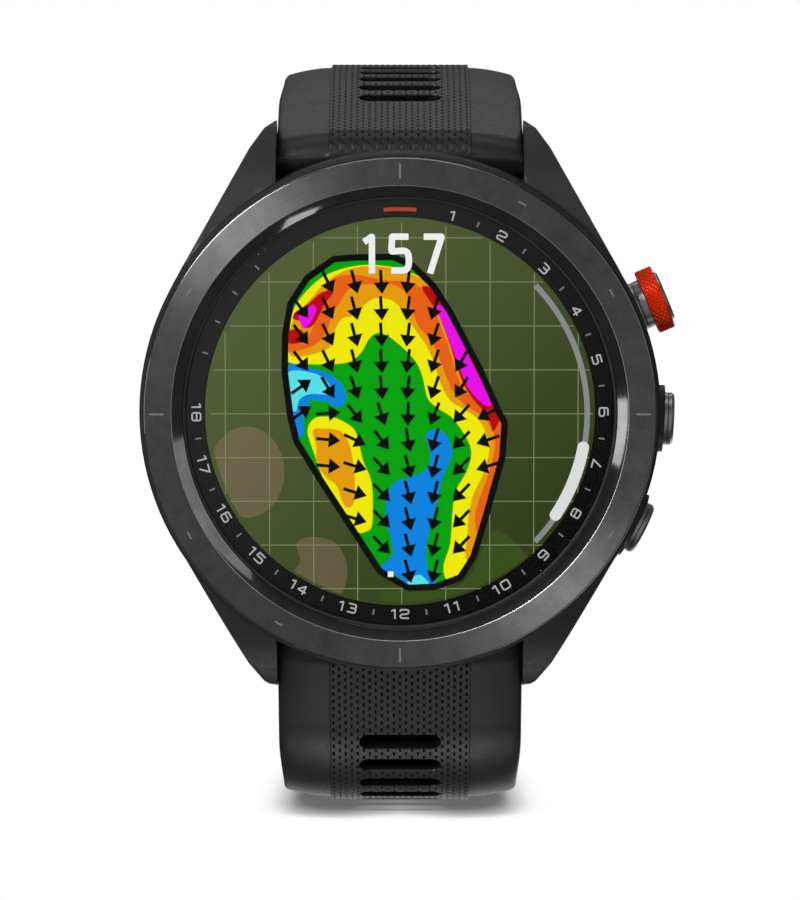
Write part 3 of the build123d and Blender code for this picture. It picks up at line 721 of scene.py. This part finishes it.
def inside(spot, outline):
    """True where a point is inside a closed outline."""
    hit = False
    for (ax, ay), (bx, by) in zip(outline, outline[1:] + outline[:1]):
        if (ay > spot[1]) != (by > spot[1]) and spot[0] < (bx - ax) * (spot[1] - ay) / (by - ay) + ax:
            hit = not hit
    return hit


def in_circle(outline, radius):
    """An outline pulled in to a circle where it passes outside it."""
    return [point if point.length < radius else point.normalized() * radius for point in map(Vector, outline)]


def slope_lean(x, y):
    """How far a slope arrow leans right of straight down, in degrees."""
    low = min(max((3.0 - y) / 6.0, 0.0), 1.0)
    if x < -6.0 and -1.0 < y < 3.5:
        return 125.0 if x < -8.0 else 95.0 - 26.0 * y
    return min(max((4.5 + 7.5 * low) * (-1.0 + 2.8 * low - x), -85.0), 85.0)


def build_slope_arrows(level):
    arrows = Flat(level)
    for row in range(12):
        for column in range(8):
            x, y = -9.1 + 2.42 * column, 12.0 - 2.39 * row
            if not inside((x, y), [(0.93 * a, 0.965 * b) for a, b in outline_points]):
                continue
            lean = radians(slope_lean(x, y))
            down = Vector((sin(lean), -cos(lean)))
            side = Vector((down.y, -down.x))
            middle = Vector((x, y))
            arrows.line([middle - down * 1.05, middle + down * 0.2], 0.29)
            base = middle + down * 0.1
            arrows.plate([base + side * 0.72, base - side * 0.72, middle + down * 1.16])
    arrows.build("screen_slope_arrows", "display", lit("screen_black", colour(9, 10, 10)))


def build_screen():
    base = [(0.0, 11.34), (screen_radius, 11.34), (screen_radius, screen_top), (0.0, screen_top)]
    wear(lathe("screen_base", base, steps=180), "case", "display", display_off, replaces=["display_panel"])
    level = screen_top + film
    fairway_reach, sand_reach = 17.2, 17.3

    fairway = Flat(level)
    fairway.plate(in_circle(flowing([(-1.6, -17.4), (-1.2, -15.6), (2.0, -16.2), (5.8, -15.2), (8.6, -10.6),
                                     (12.2, -14.6), (9.0, -16.4), (4.0, -17.4)]), fairway_reach))  # fmt: skip
    fairway.build("screen_fairway", "display", lit("screen_fairway", colour(58, 82, 28)))
    sand = Flat(level)
    turns = [2 * pi * step / 64 for step in range(64)]
    sand.plate(in_circle([(-14.0 + 3.4 * cos(turn), -5.3 + 4.15 * sin(turn)) for turn in turns], sand_reach))
    low_bunker = [(-9.5, -11.8), (-8.2, -11.2), (-6.2, -11.6), (-5.1, -13.2), (-5.0, -15.2),
                  (-5.9, -16.8), (-7.8, -15.9), (-9.9, -14.8), (-9.2, -13.4)]  # fmt: skip
    sand.plate(in_circle(flowing(low_bunker), sand_reach))
    # The bunkers lighten towards the upper left: a painted reflection of the glass over them
    sand.build("screen_bunkers", "display", lit("screen_sand", colour(92, 84, 58), 1.0, colour(116, 108, 82)))
    grid = Flat(level + film)
    for count in range(-4, 5):
        place = grid_pitch * count
        reach = min((screen_radius**2 - place**2) ** 0.5 - 0.15, 17.3)
        grid.line([(place, -reach), (place, reach)], grid_line)
        # The lines across stop at each line up, so that no two faces lie on each other
        crossings = [grid_pitch * across for across in range(-4, 5) if abs(grid_pitch * across) < reach]
        for low, high in zip([-reach, *crossings], [*crossings, reach]):
            grid.line([(low + 0.05, place), (high - 0.05, place)], grid_line)
    grid.build("screen_grid", "display", lit("screen_grid", colour(128, 140, 100)))

    level += 3 * film
    green = Flat(level)
    green.plate(outline_points)
    green.build("screen_green", "display", lit("screen_green", colour(3, 166, 10)))
    shades = {}
    for name, rgb, points in zones:
        level += film / 2
        zone = Flat(level)
        zone.plate(flowing(points, 4))
        if rgb not in shades:
            shades[rgb] = lit("screen_" + name, colour(*rgb))
        zone.build("screen_" + name, "display", shades[rgb])
    level += film
    build_slope_arrows(level)
    level += film
    border = Flat(level)
    border.line(rounded(outline_points, 0.6, 3), 0.6, closed=True)
    border.build("screen_green_edge", "display", lit("screen_edge", colour(9, 11, 9)))
    flag = Flat(level + film)
    flag.line([(-1.25, -14.6), (-0.75, -14.6)], 0.5)
    flag.build("screen_pin_mark", "display", lit("screen_white", colour(246, 248, 244)))

    level += 2 * film
    reading = Flat(level)
    write_digits(reading, "157", (0.1, 14.5), 3.05, 0.0, 0.58, 0.7, 0.26, 0.58)
    reading.build("screen_distance", "display", bpy.data.materials["screen_white"])
    rail = Flat(level)
    rail.line(arc(16.75, 46.0, 134.0, 60), 0.5)
    rail.build("screen_scroll_rail", "display", lit("screen_rail", colour(140, 142, 140)))
    thumb = Flat(level + film)
    ends = (100.5, 123.5)
    middle, wide = 16.675, 0.525
    low_cap = [on_dial(middle, ends[1]) + on_dial(wide, ends[1] + turn) for turn in range(15, 180, 15)]
    high_cap = [on_dial(middle, ends[0]) + on_dial(wide, ends[0] - turn) for turn in range(165, 0, -15)]
    thumb.plate(arc(middle + wide, *ends, 20) + low_cap + arc(middle - wide, *reversed(ends), 20) + high_cap)
    thumb.build("screen_scroll_thumb", "display", lit("screen_thumb", colour(226, 228, 226)))


# ---------------------------------------------------------------- case, buttons and case back


def soften(node, width, angle=35.0):
    """Rounds a CAD node's hard edges a little, and shades it smoothly."""
    made = frame["nodes"][node]
    weld = made.modifiers.new("weld", "WELD")
    weld.merge_threshold = 2e-6
    flat = made.modifiers.new("flat", "DECIMATE")
    flat.decimate_type = "DISSOLVE"
    flat.angle_limit = radians(0.6)
    edge = made.modifiers.new("edge", "BEVEL")
    edge.width = width * MM
    edge.segments = 2
    edge.limit_method = "ANGLE"
    edge.angle_limit = radians(angle)
    edge.harden_normals = True
    made.modifiers.new("normals", "WEIGHTED_NORMAL").keep_sharp = True


def button_frame(angle):
    """A frame on the case side with its Z pointing outwards along a button's axis."""
    out = Vector((cos(radians(angle)), 0, sin(radians(angle))))
    up = Vector((0, -1, 0))
    along = up.cross(out)
    turned = Matrix((along, up, out)).transposed().to_4x4()
    return Matrix.Translation(Vector((0, -button_height, 0)) * MM) @ turned


def build_buttons():
    for name in ("middle_button", "lower_button"):
        stem = [(1.0, 18.2), (1.0, 19.05), (0.75, 19.05), (0.75, 19.45), (1.0, 19.45), (1.0, 23.15)]
        cap = [(2.4, 23.15, 0.08), (2.4, 24.3, 0.05), (2.33, 24.36), (2.4, 24.42), (2.4, 24.68, 0.05),
               (2.2, 24.91, 0.08), (1.95, 24.92), (1.9, 24.86), (0.9, 24.88)]  # fmt: skip
        outline = rounded([(0.0, 18.2), *stem, *cap, (0.0, 24.89)], 0.0, 3, closed=False)
        made = lathe(name + "_cap", outline, button_frame(button_angles[name]), 96, 30.0)
        wear(made, name, "button_metal", button_metal, replaces=[name])
    place = button_frame(button_angles["start_button"])
    neck = [(0.0, 18.2), (1.0, 18.2), (1.0, 19.05), (0.75, 19.05), (0.75, 19.45), (1.0, 19.45), (1.0, 23.1),
            (2.25, 23.1, 0.1), (2.25, 23.62, 0.03), (2.16, 23.7), (2.25, 23.78, 0.03),
            (2.25, 25.95), (2.35, 25.95, 0.05), (2.3, 26.09, 0.1), (2.1, 26.23, 0.12),
            (1.6, 26.25), (0.0, 26.25)]  # fmt: skip
    made = lathe("start_button_cap", rounded(neck, 0.0, 4, closed=False), place, 96, 30.0)
    wear(made, "start_button", "button_metal", button_metal, replaces=["start_button"])
    rows = [ring_low + 0.14 + (ring_high - ring_low - 0.28) * count / 6 for count in range(7)]
    corner = [(2.26, ring_low, 0.04), (2.88, ring_low, 0.08), (2.96, ring_low + 0.1, 0.04)]
    near = rounded(corner, 0.0, 3, closed=False)
    far = [Vector((radius, ring_low + ring_high - height)) for radius, height in reversed(near)]
    outline = near + [Vector((2.95, height)) for height in rows] + far
    first, last = len(near), len(near) + len(rows)

    def knurl(turn, index):
        return 0.085 * (1 if (turn + index) % 2 else -1) if first <= index < last else 0.0

    made = lathe("start_button_grip", outline, place, 60, 8.0, knurl)
    wear(made, "start_button", "red_ring", red_anodised, replaces=["start_button_ring"])


def finish_cad_nodes():
    """Every carried-over CAD node gets the material of its record slot."""
    slots = {part["node"]: part["material_slot"] for part in frame["record"]["subparts"]}
    for node, made in frame["nodes"].items():
        material = slot_finishes[slots[node]]
        if node == "sensor_leds":
            material = led_glow
        if not made.material_slots:
            made.data.materials.append(material)
        for entry in made.material_slots:
            entry.material = material
    for node, width in (
        ("case_shell", 0.12),
        ("back_cover", 0.08),
        ("back_cover_screws", 0.05),
        ("lug_bar_top", 0.04),
        ("lug_bar_bottom", 0.04),
        ("buckle_frame", 0.28),
        ("buckle_tongue", 0.16),
        ("buckle_pin", 0.1),
        ("charge_port_block", 0.06),
        ("top_latch_slider", 0.06),
        ("bottom_latch_slider", 0.06),
        ("battery_cell", 0.3),
        ("shield_can", 0.08),
        ("sensor_leds", 0.06),
    ):
        soften(node, width)


# ---------------------------------------------------------------- strap


def half(distance):
    """Half the strap's thickness at a distance from the lug bar."""
    distance = max(distance, 0.0)
    for (a, thick_a), (b, thick_b) in zip(half_thickness, half_thickness[1:]):
        if distance <= b:
            return thick_a + (thick_b - thick_a) * (distance - a) / (b - a)


def station(side, route, distance):
    """The strap centreline's Y and Z, and its angle, at a distance from the lug bar."""
    y, z, b = -bar_height, bar_offset, radians(route[0][1])
    for length, first, last in route:
        run = min(distance, length)
        a, b = radians(first), radians(first + (last - first) * max(run, 0.0) / length)
        if first == last or run <= 0:
            y, z = y + run * sin(a), z + run * cos(a)
        else:
            bend = length / radians(last - first)
            y, z = y + bend * (cos(a) - cos(b)), z + bend * (sin(b) - sin(a))
        distance -= run
        if distance <= 1e-9:
            break
    return y + distance * sin(b), side * (z + distance * cos(b)), b


def strap_point(side, route, distance, across, offset):
    """A point at an offset outwards from the strap's centreline, in row-frame millimetres."""
    y, z, angle = station(side, route, distance)
    return (across, y - offset * cos(angle), z + side * offset * sin(angle))


def strap_frame(side, route, distance):
    """A frame on the strap centreline: X across, Y down the strap, Z outwards."""
    y, z, angle = station(side, route, distance)
    along = Vector((0, sin(angle), side * cos(angle)))
    out = Vector((0, -cos(angle), side * sin(angle)))
    turned = Matrix((along.cross(out), along, out)).transposed().to_4x4()
    return Matrix.Translation(Vector((0, y, z)) * MM) @ turned


root_half, lug_fill, strap_taper = 10.9, 0.31, 0.7
band_half = 6.4
band_columns = 23
row_pitch = 0.2
knuckle_rows = 16
dimple_depth = 0.22
groove_depth = 0.03
band_step = 0.3


def eased(value, start, length):
    """A smooth rise from 0 to 1 over a length."""
    share = min(max((value - start) / length, 0.0), 1.0)
    return share * share * (3 - 2 * share)


def strap_half_width(distance):
    """Half the strap's width: fullest between the lugs, then narrowing gently towards the wrist."""
    return root_half + lug_fill * (1 - eased(distance, 9.0, 7.0)) - strap_taper * eased(distance, 14.0, 24.0)


def strap_section(distance, row, textured):
    """One section of the strap as (across, offset) points, counter-clockwise from its left edge."""
    reach, thick = strap_half_width(distance), half(distance)
    step = band_step * textured
    shoulder, fall = 0.34, 0.62
    wing = []
    for share in (0.0, 0.12, 0.3, 0.5, 0.7, 0.86, 1.0):
        across = band_half + 0.06 + share * (reach - shoulder - band_half - 0.06)
        wing.append((across, thick - step - fall * share**1.8))
    low = thick - step - fall
    edge = [(reach - 0.14, low - 0.1), (reach - 0.03, low - 0.25), (reach, low - 0.5)]
    under = [(reach, 0.4 - thick), (reach - 0.1, 0.14 - thick), (reach - 0.4, -thick)]
    right = wing + edge + under
    section = [(-across, offset) for across, offset in reversed(right)]
    pitch = 2 * band_half / band_columns
    for column in range(band_columns):
        start = -band_half + column * pitch
        pressed = textured > 0.5 and row % 4 == (2 if column % 2 else 0)
        for share in (0.0, 0.3, 0.5, 0.7):
            offset = thick - (dimple_depth if pressed and share == 0.5 else 0.0)
            if textured > 0.5 and share == 0.0:
                offset -= groove_depth
            section.append((start + share * pitch, offset))
    section.append((band_half, thick))
    section += right
    section += [(across, -thick) for across in (8.0, 4.0, 0.0, -4.0, -8.0)]
    return section


def build_strap(name, side, route, length, textured_to, end_bulge):
    """One half of the strap as a closed mesh with its pressed texture, from its knuckle to its free end."""
    knuckle = half(0.0)
    turns = [radians(78.0) * (knuckle_rows - index) / knuckle_rows for index in range(knuckle_rows)]
    rows = [(-knuckle * sin(turn), cos(turn), float(turn < radians(66.0))) for turn in turns]
    fine = int(round(textured_to / row_pitch))
    rows += [(row_pitch * index, 1.0, float(index < fine - 2)) for index in range(fine + 1)]
    plain = length - textured_to
    coarse = int(ceil(plain / 0.8))
    rows += [(textured_to + plain * (index + 1) / coarse, 1.0, 0.0) for index in range(coarse)]
    end_half = end_bulge or half(length)
    for share in (0.15, 0.35, 0.55, 0.75, 0.9, 0.98):
        rows.append((length + end_half * share, (1 - share**2) ** 0.5, 0.0))
    points = []
    for index, (distance, squeeze, textured) in enumerate(rows):
        section = strap_section(distance, index - knuckle_rows, textured)
        swell = 1 + (end_half / half(length) - 1) * eased(distance, length - 3.5, 3.5)
        for across, offset in section:
            if name.endswith("tail") and distance > length:
                tip = (distance - length) / end_half
                across *= 1 - 0.12 * tip**3
            points.append(strap_point(side, route, distance, across, offset * squeeze * swell))
    made = mesh_object(name, points, closed_tube(len(rows), len(section)), Matrix.Identity(4), 40.0)
    merge(made, 1e-8)
    return made


def slot_cutter(place, length, width, low, high):
    """A round-ended slot cutter that flares a little where it leaves the outer face."""
    levels = ((low, 0.0), (high - 0.16, 0.0), (high + 0.03, 0.12), (high + 2.0, 0.14))
    steps, points = 14, []
    for level, grow in levels:
        radius = width / 2 + grow
        for way in (1, -1):
            for step in range(steps + 1):
                angle = pi * step / steps - pi / 2
                x = way * ((length - width) / 2 + radius * cos(angle))
                points.append((x, way * radius * sin(angle), level))
    count = 2 * (steps + 1)
    made = mesh_object("cutter", points, closed_tube(len(levels), count), place)
    made.data.materials.append(silicone)
    made.data.materials.append(painted_slot_shade)
    # The slot's deep walls take the painted shade; its flare stays plain silicone
    for face in made.data.polygons[:count]:
        face.material_index = 1
    return made


def box_cutter(place, across, along, out):
    """A box cutter between (low, high) limits in a strap frame."""
    points = [(x, y, z) for z in out for y in along for x in across]
    faces = [(0, 2, 3, 1), (4, 5, 7, 6), (0, 1, 5, 4), (2, 6, 7, 3), (0, 4, 6, 2), (1, 3, 7, 5)]
    return mesh_object("cutter", points, faces, place)


def rod_cutter(place, radius, reach):
    """A round cutter that runs across the strap."""
    steps = 32
    turns = [2 * pi * step / steps for step in range(steps)]
    points = [(x, radius * cos(turn), radius * sin(turn)) for x in (-reach, reach) for turn in turns]
    return mesh_object("cutter", points, closed_tube(2, steps), place)


def cut(made, cutters):
    """Cuts closed cutters out of a mesh, and removes them."""
    for cutter in cutters:
        merge(cutter, 1e-9)
    made.data.materials.append(silicone)
    made.data.materials.append(painted_slot_shade)
    with bpy.context.temp_override(
        active_object=cutters[0], selected_objects=cutters, selected_editable_objects=cutters
    ):
        if len(cutters) > 1:
            bpy.ops.object.join()
    tool = cutters[0]
    step = made.modifiers.new("cut", "BOOLEAN")
    step.operation = "DIFFERENCE"
    step.solver = "EXACT"
    step.use_self = True
    step.object = tool
    bpy.context.view_layer.update()
    baked = bpy.data.meshes.new_from_object(made.evaluated_get(bpy.context.evaluated_depsgraph_get()))
    made.modifiers.clear()
    made.data = baked
    bpy.data.objects.remove(tool)
    merge(made, 1e-7)
    shade(made, 40.0)


def root_cutters(side, route):
    """The strap's slot for the lug bar, and its latch pocket and window."""
    place = strap_frame(side, route, 0.0)
    return [
        rod_cutter(place, 1.15, 12.0),
        box_cutter(place, (-12.0, 12.0), (-1.15, 1.15), (-4.0, 0.0)),
        box_cutter(place, (-3.75, 3.75), (-4.0, 5.6), (-3.6, -1.05)),
        box_cutter(place, (-4.65, 4.65), (-3.1, 6.6), (-1.7, -1.05)),
    ]


def finish_strap(made, side, route, slots, cutters, flex, stands_for):
    """Cuts the slots and root openings into one half of the strap."""
    openings = [slot_cutter(strap_frame(side, route, s), 7.4, width, -4.0, half(s)) for s, width in slots]
    cut(made, openings + root_cutters(side, route) + cutters)
    wear(made, None, "silicone", replaces=stands_for)
    ends = [strap_frame(side, route, flex + shift).translation for shift in (-flex_reach, flex_reach)]
    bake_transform(made)


def build_straps():
    top = build_strap("strap_upper", 1, top_route, pin_distance, 44.0, 2.2)
    at_pin = strap_frame(1, top_route, pin_distance)
    tongue_opening = box_cutter(at_pin, (-3.4, 3.4), (-3.0, 4.2), (-4.0, 4.0))
    slots = [(s, 1.6) for s in slots_top]
    finish_strap(top, 1, top_route, slots, [tongue_opening], top_flex,
                 ["strap_top_root", "strap_top_end"])  # fmt: skip

    bottom = build_strap("strap_lower_tail", -1, bottom_route, tail_length, 46.0, None)
    slots = [(s, 1.6) for s in slots_bottom] + [(s, 1.8) for s in tail_slots]
    finish_strap(bottom, -1, bottom_route, slots, [], bottom_flex,
                 ["strap_bottom_root", "strap_tail"])  # fmt: skip


def build_keeper(name, node, body, distance, opening, low, wall=1.3, length=4.0):
    """A soft loop round the strap: a rounded band swept round a rounded rectangle."""
    place = strap_frame(1, top_route, distance)
    side = 10.2 + 0.35 + wall / 2
    bottom, top, wide, run = low - wall / 2, low + opening + wall / 2, wall / 2, length / 2
    path = rounded([(-side, bottom), (side, bottom), (side, top), (-side, top)], 1.3, 8)
    section = rounded([(-wide, -run), (wide, -run), (wide, run), (-wide, run)], 0.42, 5)
    points, turns = [], len(path)
    for index, spot in enumerate(path):
        along = (path[(index + 1) % turns] - path[index - 1]).normalized()
        out = Vector((along.y, -along.x))
        for reach, run in section:
            where = spot + out * reach
            points.append((where.x, run, where.y))
    made = mesh_object(name, points, tube_faces(turns, len(section), True), place, 50.0)
    merge(made)
    wear(made, body, "silicone", silicone, replaces=[node])


def squash_springs():
    """Gives each button's spring and each latch's springs a mesh of their own."""
    for name, share in press_shares.items():
        place = button_frame(button_angles[name])
        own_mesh(frame["nodes"][name + "_spring"])
    for word, side, route in (("top", 1, top_route), ("bottom", -1, bottom_route)):
        place = strap_frame(side, route, latch_spring_end)
        node = frame["nodes"][word + "_latch_springs"]
        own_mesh(node)


# ---------------------------------------------------------------- stage, lights and camera


def build_stage():
    """A floor of paper that gives off its own even white light, with contact shadows painted in from ambient
    occlusion. From below it is clear.
    """
    level, reach = bounds_at_load[0][2] - 0.0001, 6.0
    corners = [(x * reach, y * reach, level) for x, y in ((-1, -1), (1, -1), (1, 1), (-1, 1))]
    data = bpy.data.meshes.new("floor")
    data.from_pydata(corners, [], [(0, 1, 2, 3)])
    made = bpy.data.objects.new("floor", data)
    bpy.context.scene.collection.objects.link(made)
    paper = bpy.data.materials.new("floor_paper")
    graph = Graph(paper)
    # Painted contact shadow: the floor's glow dims where ambient occlusion finds the object close by
    near = graph.add("AmbientOcclusion", {"Distance": 0.004}, samples=24)
    tones = [(0.15, grey(0.14)), (0.55, grey(0.55)), (0.8, grey(0.93)), (0.95, grey(1.0))]
    shader = graph.add("BsdfPrincipled", {
        "Base Color": grey(0.0),
        "Specular IOR Level": 0.0,
        "Emission Strength": 1.0,
        "Emission Color": graph.ramp(near.outputs["AO"], tones),
    })  # fmt: skip
    under = graph.add("BsdfTransparent")
    side = graph.add("NewGeometry").outputs["Backfacing"]
    mixed = graph.add("MixShader", {0: side, 1: shader.outputs[0], 2: under.outputs[0]})
    graph.add("OutputMaterial", {0: mixed.outputs[0]})
    data.materials.append(paper)
    made.visible_diffuse = made.visible_glossy = made.visible_shadow = False


def build_world():
    """White behind the object, with soft light from the front and from straight behind."""
    world = bpy.data.worlds.new("studio")
    bpy.context.scene.world = world
    graph = Graph(world)
    where = graph.add("TexCoord")
    parts = graph.add("SeparateXYZ", {0: where.outputs["Generated"]})
    share = graph.add("MapRange", {"From Min": -1.0, "Value": parts.outputs["Y"]}).outputs["Result"]
    tones = [(0.0, grey(0.42)), (0.1, grey(0.3)), (0.23, grey(0.09)), (0.32, grey(0.045)),
             (0.46, grey(0.045)), (0.55, grey(0.1)), (0.85, grey(0.08)), (0.95, grey(0.2))]  # fmt: skip
    room = graph.add("Background", {"Color": graph.ramp(share, tones)})
    backdrop = graph.add("Background", {"Color": grey(1.0)})
    seen = graph.add("LightPath").outputs["Is Camera Ray"]
    mixed = graph.add("MixShader", {0: seen, 1: room.outputs[0], 2: backdrop.outputs[0]})
    graph.add("OutputWorld", {0: mixed.outputs[0]})


def softbox(name, place, target, width, height, power):
    light = bpy.data.lights.new(name, "AREA")
    light.shape = "RECTANGLE"
    light.size, light.size_y = width, height
    light.energy = power
    made = bpy.data.objects.new(name, light)
    made.location = place
    made.rotation_euler = (Vector(target) - Vector(place)).to_track_quat("-Z", "Y").to_euler()
    bpy.context.scene.collection.objects.link(made)
    return made


def build_lights():
    softbox("key", (-0.3, -0.45, 0.27), (0, 0, 0), 0.2, 0.2, 2.0)
    softbox("top", (0.0, -0.02, 0.6), (0, 0.01, 0), 0.4, 0.3, 0.45)
    softbox("rear_top", (0.0, 0.42, 0.42), (0, 0.01, 0.02), 0.5, 0.15, 0.26)
    flagged = softbox("front_low", (0.0, -0.12, -0.5), (0, 0, -0.03), 0.3, 0.09, 0.45)
    # Flagged off the polished chamfer, so that it only shapes the rubber
    straps = bpy.data.collections.new("front_low_reaches")
    for name in ("strap_upper", "strap_lower_tail", "case_shell"):
        straps.objects.link(bpy.data.objects[name])
    flagged.light_linking.receiver_collection = straps
    softbox("right", (0.42, -0.16, 0.16), (0, 0, 0), 0.2, 0.34, 0.09)
    softbox("left", (-0.47, -0.14, -0.014), (0, 0, 0), 0.16, 0.14, 0.1)
    softbox("low", (0.2, -0.09, -0.43), (0, 0, 0), 0.1, 0.07, 0.025)
    softbox("back", (0.15, 0.5, -0.3), (0, 0.03, 0), 0.6, 0.4, 0.7)


def build_camera():
    """The photograph's view: half a metre from the bezel, a little above the dial's axis."""
    distance, elevation, centre_rise = 0.5, radians(6.0), 35.7
    data = bpy.data.cameras.new("camera")
    data.sensor_fit = "AUTO"
    data.sensor_width = 36.0
    data.lens = 222.4
    data.shift_y = -centre_rise / 900
    data.clip_start, data.clip_end = 0.01, 50.0
    made = bpy.data.objects.new("camera", data)
    target = Vector((0, -bezel_top, 0)) * MM
    away = Vector((0, -cos(elevation), sin(elevation)))
    made.location = target + away * distance
    made.rotation_euler = (-away).to_track_quat("-Z", "Y").to_euler()
    bpy.context.scene.collection.objects.link(made)
    bpy.context.scene.camera = made


finish_cad_nodes()
build_bezel()
build_glass()
build_printed_ring()
build_screen()
build_buttons()
build_straps()
build_keeper("keeper_fixed", "fixed_keeper", "top_strap_end", 56.0, 6.2, -1.47)
build_keeper("keeper_free", "free_keeper", "keeper", 46.0, 6.8, -1.95)
squash_springs()
build_stage()
build_world()
build_lights()
build_camera()
bpy.context.scene.view_settings.view_transform = "Standard"

bpy.context.view_layer.update()
